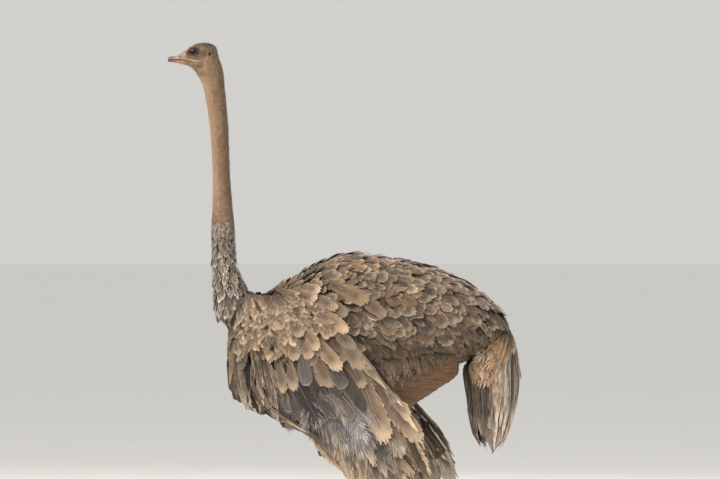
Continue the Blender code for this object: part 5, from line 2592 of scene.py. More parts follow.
@dataclass
class HeadDown:
    """Bristly down over the head and bare neck, and lashes on the upper lids."""

    hide: Hide
    eyes: Eyes
    middle: Array
    neck_foot: float = 1.30  # the neck's feathers take over below here
    crown_crowding: float = 330000.0
    side_crowding: float = 110000.0
    neck_crowding: float = 34000.0
    nape_crowding: float = 85000.0
    lid_reach: float = 0.0245
    lashes: int = 30
    lash: float = 0.0115

    def crowding(self, places: Array, out: Array) -> Array:
        """Thick on the crown and nape, thin on the face and throat, none on the lids.

        Args:
            places: points on the hide.
            out: the hide's way out at each point.

        Returns:
            How thickly to plant each point, from 0 to 1.
        """
        y, z = places[:, 1] - self.middle[1], places[:, 2] - self.middle[2]
        head = ramp(-0.11, -0.06, z)
        crown = ramp(0.004, 0.024, z) * ramp(-0.1, 0.5, out[:, 2]) * ramp(-0.020, 0.004, y)
        back = ramp(0.055, 0.080, y) * ramp(-0.1, 0.5, out[:, 1])
        face = self.side_crowding * ramp(-0.012, 0.030, y)
        on_head = np.maximum(face, self.crown_crowding * np.maximum(crown, 0.7 * back))
        nape = ramp(0.1, 0.7, out[:, 1])
        on_neck = self.neck_crowding + (self.nape_crowding - self.neck_crowding) * nape
        above_foot = ramp(self.neck_foot - 0.02, self.neck_foot + 0.03, places[:, 2])
        found = on_head * head + on_neck * (1 - head) * above_foot
        for centre in self.eyes.centres.values():
            found = found * (np.linalg.norm(places - centre, axis=1) > self.lid_reach)
        ear_y, ear_z = HeadForm.ear_place
        return found * (np.hypot(y - ear_y, z - ear_z) > 0.0075)

    def grow_down(self, piece: CoatPiece) -> None:
        """Hairs that lie back over the head and hang down the neck, standing at the nape.

        Args:
            piece: the coat piece that takes the feathers.
        """
        rng = piece.rng
        roots, out = self.hide.scatter(self.crowding, rng)
        count = len(roots)
        y, z = roots[:, 1] - self.middle[1], roots[:, 2] - self.middle[2]
        head = ramp(-0.09, -0.04, z)[:, None]
        lies = unit(BACK + DOWN * 0.35) * head + DOWN * (1 - head) + rng.normal(0, 0.22, (count, 3))
        crown = ramp(0.012, 0.03, z) * ramp(0.0, 0.06, y)
        nape = ramp(0.1, 0.7, out[:, 1]) * ramp(0.02, 0.06, y + 0.02 * (z < -0.08))
        lengths = (0.0045 + 0.0055 * crown + 0.0050 * nape) * rng.uniform(0.6, 1.35, count)
        rise = 0.40 + 0.45 * crown + 0.55 * nape + 0.15 * rng.normal(size=count)
        paths, outward = short_courses(roots, lies, out, lengths, rise, 0.1, 4)
        outward = unit(outward + rng.normal(0, 0.6, outward.shape[::2])[:, None])
        tone = 0.18 * rng.normal(size=count) - 0.50 * crown * (1 - ramp(0.05, 0.09, y))
        turn = np.arctan2(roots[:, 0], -y) / math.tau + 0.5
        spots = np.stack([turn, np.clip((roots[:, 2] - 1.25) / 0.78, 0, 1)], -1)
        blank = np.zeros(count)
        piece.add(Cut.HAIR, paths, outward, np.full(count, 0.0008), spots, tone, blank, blank)

    def grow_lashes(self, piece: CoatPiece) -> None:
        """Stiff lashes along both upper lids.

        Args:
            piece: the coat piece that takes the feathers.
        """
        rng = piece.rng
        for side in SIDES:
            _, front, rise = self.eyes.axes(side)
            rim = self.eyes.rim(side, 0.0010, 1.03)
            upper = rim[3 : self.eyes.steps // 2 - 2]
            places = upper[np.linspace(0, len(upper) - 1, self.lashes).round().astype(int)]
            count = len(places)
            out = unit(places - self.eyes.centres[side])
            lies = unit(out + 0.55 * rise + 0.10 * front + rng.normal(0, 0.10, (count, 3)))
            lengths = self.lash * rng.uniform(0.75, 1.15, count)
            lengths = lengths * (0.6 + 0.4 * np.sin(np.linspace(0.15, 3.0, count)))
            share = (np.arange(5) + 0.5) / 5
            ways = unit(lies[:, None] + rise * (0.9 * share - 0.3)[None, :, None])
            steps = ways * lengths[:, None, None] / 5
            paths = np.concatenate([places[:, None], places[:, None] + np.cumsum(steps, 1)], 1)
            outward = np.repeat(unit(np.cross(lies, front))[:, None], 6, 1)
            across = np.full(count, 0.25 if side == "left" else 0.75)
            spots = np.stack([across, 0.9 + 0.002 * np.arange(count)], -1)
            blank = np.zeros(count)
            piece.add(Cut.HAIR, paths, outward, np.full(count, 0.0011), spots, blank, blank, blank)

    def pieces(self, down: HairFinish, lash: HairFinish) -> list[CoatPiece]:
        """The down, and the lashes.

        Args:
            down: the finish of the down.
            lash: the finish of the lashes.

        Returns:
            The pieces, ready to build.
        """
        fuzz = CoatPiece("down_head_neck", down, "plumage", 170)
        self.grow_down(fuzz)
        lids = CoatPiece("eyelashes", lash, "plumage", 171)
        self.grow_lashes(lids)
        return [fuzz, lids]


@dataclass
class BreastCoat:
    """Feathers over the front of the breast, between the wings."""

    spacing: float = 0.021
    length: float = 0.085
    depth: float = 0.024
    half: float = 0.19  # half width of the patch

    def pieces(self, finish: PlumageFinish) -> list[CoatPiece]:
        """The breast's one coat piece.

        Args:
            finish: the finish that dresses it.

        Returns:
            The piece, ready to build.
        """
        piece = CoatPiece("coat_breast", finish, "plumage", 150)
        rng = piece.rng
        relief = Relief(Solid("trunk", "neck_lower"), 1, -1.0)
        low, high = float(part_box("trunk")[0].z), float(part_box("neck_lower")[0].z) + 0.13
        half = self.half
        cells = spread_out(self.spacing, self.spacing, high - low, 2 * half, rng, 0.5)
        roots = np.stack([(cells[:, 1] * 2 - 1) * half, high - cells[:, 0] * (high - low)], -1)
        roots = roots[relief.inside(roots)]
        count = len(roots)

        def flow(places: Array) -> Array:
            """Down, and in towards the keel."""
            return unit(np.stack([-0.9 * places[:, 0], np.full(len(places), -1.0)], -1))

        lengths = self.length * rng.uniform(0.8, 1.2, count)
        tips, stray = rng.uniform(0.0, 0.006, count), rng.normal(0, 0.15, count)
        paths, outward, lengths = relief.courses(roots, flow, lengths, self.depth, tips, 5, stray)
        spots = np.stack([roots[:, 0] / (2 * half) + 0.5, (roots[:, 1] - low) / (high - low)], -1)
        tone = -0.06 + 0.16 * rng.normal(size=count)
        stain, pale = varied(rng, count, 0.25, 0.3), varied(rng, count, 0.4, 0.25)
        for odd, cut in enumerate((Cut.SCALE, Cut.FINE)):
            chosen = (lengths > 0.03) & (np.arange(count) % 2 == odd)
            piece.add(cut, paths, outward, lengths * 0.45, spots, tone, stain, pale, which=chosen)
        return [piece]


@dataclass(frozen=True)
class WingRow:
    """One band of the wing's feathers.

    Heights are shares of the wing's height, from its top down; places across it are shares of its
    width at that height, from its front edge back.
    """

    cut: Cut
    top: float
    foot: float
    front: float
    rear: float
    spacing: float
    length: float
    slender: float
    deep: float
    tone: float
    stain: float
    pale: float
    limp: float = 0.0
    shallow: float = 0.003
    stray: float = 0.08
    varied: float = 0.14


@dataclass(frozen=True)
class LoneFeather:
    """One large feather of the wing, set by its tip in the side view."""

    cut: Cut
    back: float  # the tip's place along the bird, behind the frame's origin
    height: float  # the tip's height
    droop: float  # degrees under level
    length: float
    width: float
    tone: float
    stain: float
    pale: float
    over: float = 0.0  # how far the tip stands over the wing's face


@dataclass(frozen=True)
class WingPart:
    """One coat piece of a wing: its finish, its bands and the large feathers set among them."""

    name: str
    seed: int
    finish: PlumageFinish
    slot: str
    rows: tuple[WingRow, ...] = ()
    large: tuple[LoneFeather, ...] = ()
    deep: float = 0.0  # how deep the large feathers' roots lie
    inside: bool = False


@dataclass
class Wing:
    """One drooping wing: rows of coverts, quills and long soft plumes, outside and inside."""

    side: str
    front_droop: float = 84.0  # degrees under level, at the front edge
    rear_droop: float = 54.0
    top_droop: float = 26.0  # where the long feathers of the upper arm lie back
    right_lag: float = 0.030  # how much further back the right wing's feathers reach
    lining_depth: float = 0.014  # the wing is thin, so the lining's feathers lie flat
    relief: Relief = field(init=False)
    shoulder: Relief = field(init=False)
    inner: Relief = field(init=False)
    face: Relief = field(init=False)

    def __post_init__(self) -> None:
        """Measure the wing's faces."""
        solid = Solid(f"wing_{self.side}", f"wing_plumes_{self.side}")
        way = SIDES[self.side]
        self.low, self.high = solid.points.min(0), solid.points.max(0)
        self.relief = Relief(solid, 0, way)
        whole = Solid("trunk", "neck_lower", f"wing_{self.side}", f"wing_plumes_{self.side}")
        self.shoulder = Relief(whole, 0, way)
        self.inner = Relief(InnerSolid(solid), 0, -way)
        self.face = Relief(solid, 1, -1.0)
        self.heights = np.linspace(self.high[2], self.low[2], 60)
        grid = np.linspace(self.low[1], self.high[1], 200)
        spans = []
        for height in self.heights:
            inside = self.relief.inside(np.stack([grid, np.full(200, height)], -1))
            spans.append((grid[inside].min(), grid[inside].max()) if inside.any() else (np.nan, np.nan))
        spans = np.array(spans)
        for column in range(2):
            known = np.isfinite(spans[:, column])
            spans[:, column] = np.interp(np.arange(60), np.flatnonzero(known), spans[known, column])
        self.spans = spans

    def span(self, height: Array) -> tuple[Array, Array]:
        """Front and rear edge of the wing at heights."""
        order = self.heights[::-1]
        return np.interp(height, order, self.spans[::-1, 0]), np.interp(height, order, self.spans[::-1, 1])

    def down(self, places: Array) -> Array:
        """Shares of the way down the wing."""
        return (self.high[2] - places[:, 1]) / (self.high[2] - self.low[2])

    def flow(self, places: Array) -> Array:
        """The way the feathers lie on the wing's sides.

        Args:
            places: the places to look at.

        Returns:
            One unit vector for each place.
        """
        front, rear = self.span(places[:, 1])
        across = np.clip((places[:, 0] - front) / np.maximum(rear - front, 0.05), 0, 1)
        up = (places[:, 1] - self.low[2]) / (self.high[2] - self.low[2])
        droop = self.front_droop + (self.rear_droop - self.front_droop) * across
        droop = droop + (self.top_droop - droop) * ramp(0.82, 0.98, up) * ramp(0.30, 0.70, across)
        angle = np.radians(droop)
        return np.stack([np.cos(angle), -np.sin(angle)], -1)

    def seat(self, row: WingRow, rng: Rng) -> Array:
        """Roots of one band.

        Args:
            row: the band of feathers.
            rng: the source of random draws.

        Returns:
            The roots, one to a row.
        """
        size = self.high[2] - self.low[2]
        wide = (self.high[1] - self.low[1]) * (row.rear - row.front)
        run = max((row.foot - row.top) * size, row.spacing * 2.01)
        cells = spread_out(row.spacing, row.spacing, run, wide, rng, 0.42)
        height = self.high[2] - size * (row.top + cells[:, 0] * (row.foot - row.top))
        front, rear = self.span(height)
        across = row.front + cells[:, 1] * (row.rear - row.front)
        return np.stack([front + (rear - front) * across, height], -1)

    def grow(self, piece: CoatPiece, row: WingRow, relief: Relief, inside: bool) -> None:
        """Plant one band on the outer or the inner face.

        Args:
            piece: the coat piece that takes the feathers.
            row: the band of feathers.
            relief: the side of the wing that carries the band.
            inside: true for the inner face.
        """
        rng = piece.rng
        roots = self.seat(row, rng)
        roots = roots[relief.inside(roots)]
        count = len(roots)
        lengths = row.length * rng.uniform(0.85, 1.15, count)
        spread = 0.005 if inside else 0.022 if row.cut is Cut.PLUME else 0.003
        shallow = (0.002 if inside else row.shallow) + spread * rng.uniform(0, 1, count)
        deep = min(row.deep, self.lining_depth) if inside else row.deep
        stray, bends = rng.normal(0, row.stray, count), 8 if row.length > 0.2 else 6
        paths, outward, lengths = relief.courses(roots, self.flow, lengths, deep, shallow, bends, stray)
        front, rear = self.span(roots[:, 1])
        across = (roots[:, 0] - front) / np.maximum(rear - front, 0.05)
        across = np.clip(across, 0, 1) * 0.48 + (0.51 if inside else 0.01)
        spots = np.stack([across, np.clip(self.down(roots), 0, 1)], -1)
        # Feathers on the wing's inner face are made darker: painted shade between wing and body.
        tone = row.tone + row.varied * rng.normal(size=count) - (0.12 if inside else 0.0)
        stain, pale = varied(rng, count, row.stain, 0.28), varied(rng, count, row.pale, 0.22)
        widths = row.length * row.slender * rng.uniform(0.9, 1.1, count) * (lengths / row.length) ** 0.5
        fits = lengths > 0.35 * row.length
        piece.add(row.cut, paths, outward, widths, spots, tone, stain, pale, row.limp, fits)

    def set_large(self, piece: CoatPiece, feathers: Sequence[LoneFeather], deep: float) -> None:
        """Plant the large feathers one by one, on the wing and the shoulder above it.

        Args:
            piece: the coat piece that they join.
            feathers: the feathers.
            deep: how deep their roots lie.
        """
        lag = 0.0 if self.side == "left" else self.right_lag
        for cut in dict.fromkeys(feather.cut for feather in feathers):
            chosen = [feather for feather in feathers if feather.cut is cut]
            columns = map(np.array, zip(*(astuple(feather)[1:] for feather in chosen)))
            back, height, droop, lengths, widths, tone, stain, pale, over = columns
            ways = np.stack([np.cos(np.radians(droop)), -np.sin(np.radians(droop))], -1)
            roots = np.stack([back + lag, height], -1) - ways * lengths[:, None]
            paths, outward, _ = self.shoulder.courses(
                roots, lambda _, ways=ways: ways, lengths, deep, -over, 8
            )
            along = (roots[:, 0] - self.low[1]) / (self.high[1] - self.low[1])
            spots = np.clip(np.stack([along * 0.48 + 0.01, self.down(roots)], -1), 0, 1)
            tone = tone + 0.03 * piece.rng.normal(size=len(chosen))
            piece.add(cut, paths, outward, widths, spots, tone, stain, pale)

    def grow_face(self, piece: CoatPiece) -> None:
        """Plant the wing's leading edge, as seen from ahead.

        Args:
            piece: the coat piece that takes the feathers.
        """
        rng, face, low, high = piece.rng, self.face, self.low, self.high
        wide, tall = high[0] - low[0], (high[2] - low[2]) * 0.62
        cells = spread_out(0.033, 0.033, tall, wide, rng, 0.5)
        height = high[2] - cells[:, 0] * (high[2] - low[2]) * 0.62
        roots = np.stack([low[0] + cells[:, 1] * wide, height], -1)
        roots = roots[face.inside(roots)]
        roots = roots[face.read(face.table, roots) > -low[1] - 0.22 * (high[1] - low[1])]
        roots = roots[np.abs(roots[:, 0]) < max(abs(low[0]), abs(high[0])) - 0.022]
        count = len(roots)
        way = SIDES[self.side]

        def flow(places: Array) -> Array:
            """Down and a little outward."""
            return unit(np.stack([np.full(len(places), 0.16 * way), np.full(len(places), -1.0)], -1))

        down = self.down(roots)
        lengths = (0.07 + 0.13 * ramp(0.1, 0.4, down)) * rng.uniform(0.85, 1.2, count)
        tips, stray = rng.uniform(0.001, 0.006, count), rng.normal(0, 0.12, count)
        paths, outward, lengths = face.courses(roots, flow, lengths, 0.016, tips, 6, stray)
        spots = np.stack([np.clip((roots[:, 0] - low[0]) / wide, 0, 1) * 0.98, np.clip(down, 0, 1)], -1)
        tone = -0.20 + 0.34 * rng.normal(size=count)
        stain, pale = varied(rng, count, 0.3, 0.28), varied(rng, count, 0.55, 0.25)
        fits, high_up = lengths > 0.03, down < 0.22
        for cut, chosen, slender in ((Cut.SCALE, fits & high_up, 0.44), (Cut.LOCK, fits & ~high_up, 0.10)):
            if chosen.any():
                piece.add(cut, paths, outward, lengths * slender, spots, tone, stain, pale, 0.1, chosen)

    def pieces(self, parts: Sequence[WingPart]) -> list[CoatPiece]:
        """Coverts, quills, plumes and down of both faces.

        Args:
            parts: the pieces that this wing is split into.

        Returns:
            The pieces, ready to build.
        """
        made = []
        for part in parts:
            seed = part.seed + (200 if self.side == "left" else 250)
            piece = CoatPiece(f"{part.name}_{self.side}", part.finish, part.slot, seed)
            for row in part.rows:
                self.grow(piece, row, self.inner if part.inside else self.relief, part.inside)
            if part.large:
                self.set_large(piece, part.large, part.deep)
            if not part.rows:
                self.grow_face(piece)
            made.append(piece)
        return made


@dataclass(frozen=True)
class TailBand:
    """One layer of the tail's feathers."""

    count: int
    roots: tuple[float, float]  # shares down the tail
    length: float
    cut: Cut
    slender: float  # width over length
    tones: tuple[float, ...]  # shades to choose among
    layers: tuple[float, float]  # how near the outline they hang, from least to most
    rear: bool = False  # whether they grow only behind the rusty feathers


@dataclass
class Tail:
    """A drooping sheaf of long soft plumes, short and rusty over its root."""

    inset: float = 0.004
    rust_middle: float = 0.520  # the rusty short feathers gather about here on each side
    brown_to: float = 0.488  # in front of here the plumes are brown
    pale_from: float = 0.560  # and behind here they are cream and brown strands
    bends: int = 8
    sleeve: Sleeve = field(init=False)

    def __post_init__(self) -> None:
        """Measure the tail."""
        low, high = box_of("tail")
        self.sleeve = Sleeve(Solid("tail"), Axis.HEIGHT, high[2] - 0.05, low[2] + 0.006, 60, 64, 0.0)

    def pieces(self, cover: PlumageFinish, plumes: PlumageFinish) -> list[CoatPiece]:
        """Long plumes, and the shorter feathers that cover their roots.

        Args:
            cover: the finish of the coverts.
            plumes: the finish of the plumes.

        Returns:
            The pieces, ready to build.
        """
        made = [
            CoatPiece("tail_plumes", plumes, "plumes", 300),
            CoatPiece("tail_coverts", cover, "plumage", 301),
        ]
        for piece, bands in zip(made, (TAIL_PLUMES, TAIL_COVERTS)):
            for band in bands:
                self.grow(piece, band)
        return made

    def grow(self, piece: CoatPiece, band: TailBand) -> None:
        """Hang one layer of feathers round and inside the tail's outline.

        Args:
            piece: the coat piece that takes the feathers.
            band: the layer of feathers.
        """
        rng, sleeve, count, bends = piece.rng, self.sleeve, band.count, self.bends
        short, rear = band.cut is Cut.FINE, band.rear
        turn = (np.arange(count) * 0.6180339887 + rng.uniform(-0.02, 0.02, count)) % 1.0
        start = rng.uniform(*band.roots, count)
        run = abs(sleeve.end - sleeve.start)
        lengths = band.length * rng.uniform(0.8, 1.15, count)
        front = sleeve.read(sleeve.hull, start, turn)[:, 1] < sleeve.centres[:, 1].mean() + 0.005
        before, after = rng.uniform(0.62, 0.90, count), rng.uniform(0.80, 1.0, count)
        stop = np.minimum(start + lengths / run, np.where(front, before, after * (0.94 if rear else 1.0)))
        layer = rng.uniform(*band.layers, count)
        share = np.linspace(0, 1, bends + 1)
        down = start[:, None] + (stop - start)[:, None] * share
        sway = rng.normal(0, 0.030, count)[:, None] * share
        sway = sway + 0.010 * np.sin(share * math.tau + rng.uniform(0, math.tau, count)[:, None]) * share
        flat_down, flat_turn = down.ravel(), ((turn[:, None] + sway) % 1.0).ravel()
        hull = sleeve.read(sleeve.hull, flat_down, flat_turn).reshape(count, bends + 1, 3)
        middle = sleeve.middle(down)
        reach = np.linalg.norm(hull - middle, axis=-1, keepdims=True)
        inset = np.clip(1 - self.inset / np.maximum(reach, 0.01), 0.4, 1.0)
        grow = (0.86 + 0.14 * share)[None, :, None] * layer[:, None, None] * inset
        paths = middle + (hull - middle) * grow
        outward = unit(hull - middle)
        real = np.linalg.norm(np.diff(paths, axis=1), axis=-1).sum(1)
        spots = np.stack([start, turn], -1)
        waist, tip = paths[:, bends // 2, 1], paths[:, -1, 1]
        brown = 1 - ramp(self.brown_to - 0.008, self.brown_to + 0.008, waist)
        strand = ramp(self.pale_from - 0.02, self.pale_from + 0.01, waist)
        tone = rng.choice(band.tones, count) + 0.10 * rng.normal(size=count) - 0.05 * brown + 0.14 * strand
        mixed = 0.65 * strand * (rng.uniform(size=count) < 0.35)
        stain = (0.95 if short else 0.05) + 0.2 * rng.normal(size=count) + 0.65 * brown + mixed
        stain = np.clip(stain * (0.35 if rear else 1.0), 0, 1)
        pale = np.clip(0.52 + 0.42 * rng.normal(size=count) - 0.3 * short - 0.45 * brown, 0, 1)
        rusty = (np.abs(tip - self.rust_middle) < 0.036) | (rng.uniform(size=count) < 0.10)
        kept = rusty if short else waist > self.pale_from - 0.012 if rear else np.ones(count, bool)
        piece.add(band.cut, paths, outward, real * band.slender, spots, tone, stain, pale, 0.1, kept)


# Studio ----------------------------------------------------------------------------------------


@dataclass
class Studio:
    """Pale floor and walls of light, with the camera square to the bird's left side."""

    distance: float = 30.0
    camera_height: float = 1.72
    aim: tuple[float, float, float] = (0.0, 0.055, 1.2416)
    view_width: float = 2.77
    sensor: float = 36.0
    key: float = 430.0
    fill: float = 40.0
    sky: float = 0.80
    tint: Colour = (0.80, 0.79, 0.76)

    def aimed(self, name: str, data: bpy.types.ID, place: Sequence[float]) -> Thing:
        """A camera or lamp at a place, turned to the bird.

        Args:
            name: the name of the object.
            data: its camera or lamp data.
            place: where it stands.

        Returns:
            The new object.
        """
        made = bpy.data.objects.new(name, data)
        made.location = place
        made.rotation_euler = (Vector(self.aim) - made.location).to_track_quat("-Z", "Y").to_euler()
        bpy.context.scene.collection.objects.link(made)
        return made

    def camera(self) -> None:
        """A long lens, level with the bird's neck."""
        lens = bpy.data.cameras.new("camera")
        lens.sensor_width = self.sensor
        lens.lens = self.sensor * self.distance / self.view_width
        lens.clip_end = 200.0
        place = (self.distance, self.aim[1], self.camera_height)
        bpy.context.scene.camera = self.aimed("camera", lens, place)

    def lamp(self, name: str, place: Sequence[float], size: float, power: float, tint: Colour) -> None:
        """A soft square lamp turned to the bird."""
        light = bpy.data.lights.new(name, "AREA")
        light.size, light.energy, light.color = size, power, tint
        self.aimed(name, light, place)

    def build(self, finish: FloorFinish) -> Thing:
        """Floor, lamps, sky and camera.

        Args:
            finish: the finish that dresses it.

        Returns:
            The floor.
        """
        self.camera()
        self.lamp("key", (3.4, -3.4, 6.2), 2.2, self.key, (1.0, 0.96, 0.90))
        self.lamp("fill", (5.0, 3.5, 2.6), 4.0, self.fill, (0.92, 0.96, 1.0))
        self.lamp("back", (-4.5, 1.5, 4.5), 3.0, self.key * 0.55, (1.0, 0.97, 0.93))
        world = bpy.data.worlds.new("sky")
        world.use_nodes = True
        world.node_tree.nodes["Background"].inputs["Color"].default_value = (*self.tint, 1.0)
        world.node_tree.nodes["Background"].inputs["Strength"].default_value = self.sky
        bpy.context.scene.world = world
        bpy.context.scene.view_settings.view_transform = "Standard"
        half = 60.0
        points = np.array([(-half, -half, 0), (half, -half, 0), (half, half, 0), (-half, half, 0)], float)
        floor = new_object("floor", points, np.array([[0, 1, 2, 3]]))
        floor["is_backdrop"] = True
        return dressed(floor, finish.material())


# The bird --------------------------------------------------------------------------------------

HIDE = SkinFinish(
    "bare_hide",
    tan=(0.188, 0.108, 0.060),
    pale=(0.410, 0.275, 0.170),
    dark=(0.040, 0.023, 0.016),
    warm=(0.170, 0.086, 0.036),
    scute=(0.260, 0.205, 0.145),
    seam=(0.080, 0.054, 0.038),
    # painted shade of the skin under the coat
    under=(0.070, 0.052, 0.040),
)
UPPER_HORN = HornFinish(
    "bill_horn", (0.300, 0.205, 0.155), (0.150, 0.108, 0.095), (0.075, 0.046, 0.036), 0.12
)
LOWER_HORN = HornFinish(
    "jaw_horn", (0.330, 0.190, 0.120), (0.150, 0.070, 0.045), (0.075, 0.042, 0.030), 0.12
)
NAIL_HORN = HornFinish(
    "nail_horn", (0.120, 0.098, 0.080), (0.210, 0.170, 0.130), (0.050, 0.040, 0.034), 0.15
)
EYE = EyeFinish(
    "brown_eye",
    pupil=(0.002, 0.002, 0.002),
    iris=(0.018, 0.009, 0.005),
    rays=(0.034, 0.016, 0.008),
    rim=(0.005, 0.004, 0.003),
    pupil_size=0.34,
    iris_size=0.60,
)
FLOOR = FloorFinish("pale_floor", (0.93, 0.92, 0.90))
BODY_PLUMAGE = PlumageFinish(
    "body_plumage",
    heart=(0.080, 0.062, 0.050),
    web=(0.182, 0.132, 0.094),
    rim=(0.565, 0.455, 0.350),
    tip=(0.400, 0.308, 0.225),
    warm=(0.270, 0.158, 0.082),
    rim_from=0.74,
    streak=0.35,
)
NECK_PLUMAGE = PlumageFinish(
    "neck_plumage",
    heart=(0.085, 0.070, 0.060),
    web=(0.230, 0.195, 0.162),
    rim=(0.560, 0.500, 0.430),
    tip=(0.560, 0.500, 0.430),
    warm=(0.260, 0.165, 0.095),
    rim_from=0.60,
    streak=0.35,
)
WING_PLUMAGE = PlumageFinish(
    "wing_plumage",
    heart=(0.120, 0.088, 0.066),
    web=(0.232, 0.166, 0.113),
    rim=(0.510, 0.410, 0.310),
    tip=(0.510, 0.380, 0.262),
    warm=(0.315, 0.198, 0.108),
    rim_from=0.80,
    streak=0.45,
)
QUILLS = PlumageFinish(
    "wing_quills",
    heart=(0.066, 0.054, 0.050),
    web=(0.092, 0.075, 0.069),
    rim=(0.360, 0.305, 0.260),
    tip=(0.170, 0.138, 0.118),
    warm=(0.220, 0.155, 0.100),
    rim_from=0.90,
    tip_from=0.92,
    streak=0.22,
)
PALE_DOWN = PlumageFinish(
    "pale_down",
    heart=(0.230, 0.205, 0.190),
    web=(0.400, 0.365, 0.345),
    rim=(0.600, 0.560, 0.530),
    tip=(0.600, 0.560, 0.530),
    warm=(0.300, 0.230, 0.170),
    rim_from=0.40,
)
HEAD_HAIR = HairFinish("head_down", (0.120, 0.080, 0.052), (0.400, 0.300, 0.205))
LASHES = HairFinish("lashes", (0.016, 0.012, 0.010), (0.028, 0.020, 0.016))
LONG_PLUMES = PlumageFinish(
    "long_plumes",
    heart=(0.105, 0.080, 0.062),
    web=(0.212, 0.168, 0.132),
    rim=(0.540, 0.465, 0.390),
    tip=(0.300, 0.235, 0.178),
    warm=(0.265, 0.162, 0.092),
    rim_from=0.46,
    streak=0.45,
    rooted=0.30,
)


SADDLE = LooseCoat(
    "coat_saddle", 150, Cut.SCALE, (-0.13, -0.40, 0.93), (0.13, -0.25, 1.055), 0.02, 5200.0, 0.058, 0.45,
    (0.0, 0.85, -0.35), 0.55, -0.05, 0.35, 0.50,
)
NECK_FRINGE = LooseCoat(
    "coat_neck_fringe", 151, Cut.FINE, (-0.1, -0.60, 1.235), (0.1, -0.30, 1.350), 0.075, 21000.0, 0.021, 0.32,
    (0.0, 0.05, -1.0), 0.26, 0.20, 0.05, 0.75,
)

WING_ROWS = tuple(WingRow(*row) for row in (
    (Cut.COVERT, 0.02, 0.7, 0.02, 0.98, 0.05, 0.14, 0.45, 0.062, -0.62, 0.05, 0.0, 0.0, 0.045, 0.2),
    (Cut.SCALE, 0.0, 0.15, 0.0, 1.0, 0.0185, 0.06, 0.46, 0.014, -0.08, 0.36, 0.45, 0.0, 0.002, 0.36, 0.34),
    (Cut.SCALE, 0.1, 0.23, 0.05, 0.6, 0.0235, 0.085, 0.38, 0.018, -0.2, 0.45, 0.5, 0.0, 0.003, 0.26, 0.34),
    (Cut.COVERT, 0.13, 0.25, 0.55, 1.0, 0.036, 0.13, 0.36, 0.024, -0.24, 0.4, 0.35, 0.0, 0.006, 0.16, 0.26),
    (Cut.COVERT, 0.215, 0.33, 0.2, 0.85, 0.038, 0.13, 0.34, 0.028, -0.26, 0.3, 0.4, 0.0, 0.008, 0.15, 0.26),
))
QUILL_ROWS = tuple(WingRow(*row) for row in (
    (Cut.QUILL, 0.33, 0.37, 0.27, 0.66, 0.033, 0.215, 0.24, 0.026, -0.1, 0.05, 0.35, 0.0, 0.006, 0.06, 0.15),
))
TERTIAL_ROWS = tuple(WingRow(*row) for row in (
    (Cut.PLUME, 0.26, 0.45, 0.66, 0.97, 0.042, 0.3, 0.17, 0.04, 0.05, 0.35, 0.7, 0.2, 0.01, 0.1, 0.3),
))
PLUME_ROWS = tuple(WingRow(*row) for row in (
    (Cut.PLUME, 0.44, 0.64, 0.3, 1.0, 0.044, 0.32, 0.2, 0.064, 0.05, 0.12, 0.6, 0.3, 0.022, 0.14, 0.35),
    (Cut.LOCK, 0.52, 0.8, 0.24, 1.0, 0.038, 0.27, 0.11, 0.054, 0.12, 0.08, 0.75, 0.3, 0.018, 0.16, 0.4),
    (Cut.LOCK, 0.165, 0.38, 0.0, 0.3, 0.043, 0.29, 0.08, 0.02, -0.26, 0.2, 0.45, 0.1, 0.001, 0.08, 0.45),
    (Cut.FINE, 0.3, 0.43, 0.18, 0.34, 0.03, 0.13, 0.22, 0.026, -0.25, 0.4, 0.45, 0.1, 0.004, 0.15, 0.25),
))
WISP_ROWS = tuple(WingRow(*row) for row in (
    (Cut.WISP, 0.44, 0.69, 0.42, 0.74, 0.04, 0.13, 0.42, 0.014, 0.05, 0.0, 0.75, 0.25, -0.006, 0.28, 0.34),
))
# The large coverts, grouped down the wing; then the quills; then the long loose tertials.
LARGE_COVERTS = tuple(LoneFeather(Cut.BROAD, *row) for row in (
    (0.155, 0.955, 36, 0.17, 0.048, -0.25, 0.4, 0.4, 0.002),
    (0.09, 1.01, 24, 0.2, 0.06, -0.15, 0.9, 0.4, 0.003),
    (-0.096, 1.052, 10, 0.11, 0.042, 0.1, 0.3, 1.0, 0.003),
    (-0.108, 1.02, 16, 0.12, 0.046, 0.1, 0.3, 1.0, 0.004),
    (-0.175, 1.03, 14, 0.095, 0.038, 0.05, 0.3, 0.9, 0.002),
    (-0.03, 0.985, 26, 0.15, 0.046, -0.08, 0.5, 0.7, 0.003),
    (0.005, 0.957, 30, 0.16, 0.05, -0.3, 0.05, 0.7, 0.001),
    (0.01, 0.893, 36, 0.22, 0.06, 0.22, 0.6, 1.0, 0.007),
    (-0.045, 0.925, 38, 0.14, 0.042, -0.15, 0.6, 0.6, 0.004),
    (-0.163, 0.88, 48, 0.12, 0.045, -0.1, 0.5, 0.9, 0.004),
    (0.035, 0.83, 46, 0.19, 0.05, -0.2, 0.35, 0.45, 0.001),
    (-0.102, 0.829, 50, 0.14, 0.046, 0.12, 0.75, 0.9, 0.006),
    (-0.128, 0.797, 55, 0.13, 0.045, 0.08, 0.65, 0.7, 0.004),
    (-0.18, 0.79, 62, 0.13, 0.042, -0.05, 0.4, 0.8, 0.003),
    (0.071, 0.755, 49, 0.24, 0.056, -0.06, 0.5, 0.5, 0.003),
    (-0.0155, 0.749, 50, 0.2, 0.052, 0.25, 0.6, 1.0, 0.008),
    (-0.054, 0.684, 62, 0.19, 0.048, -0.16, 0.35, 0.55, 0.003),
    (-0.192, 0.672, 74, 0.18, 0.045, -0.02, 0.35, 0.7, 0.002),
    (-0.235, 0.66, 78, 0.17, 0.04, 0.0, 0.3, 0.7, 0.001),
    (0.071, 0.681, 60, 0.15, 0.05, -0.2, 0.15, 1.0, 0.001),
))
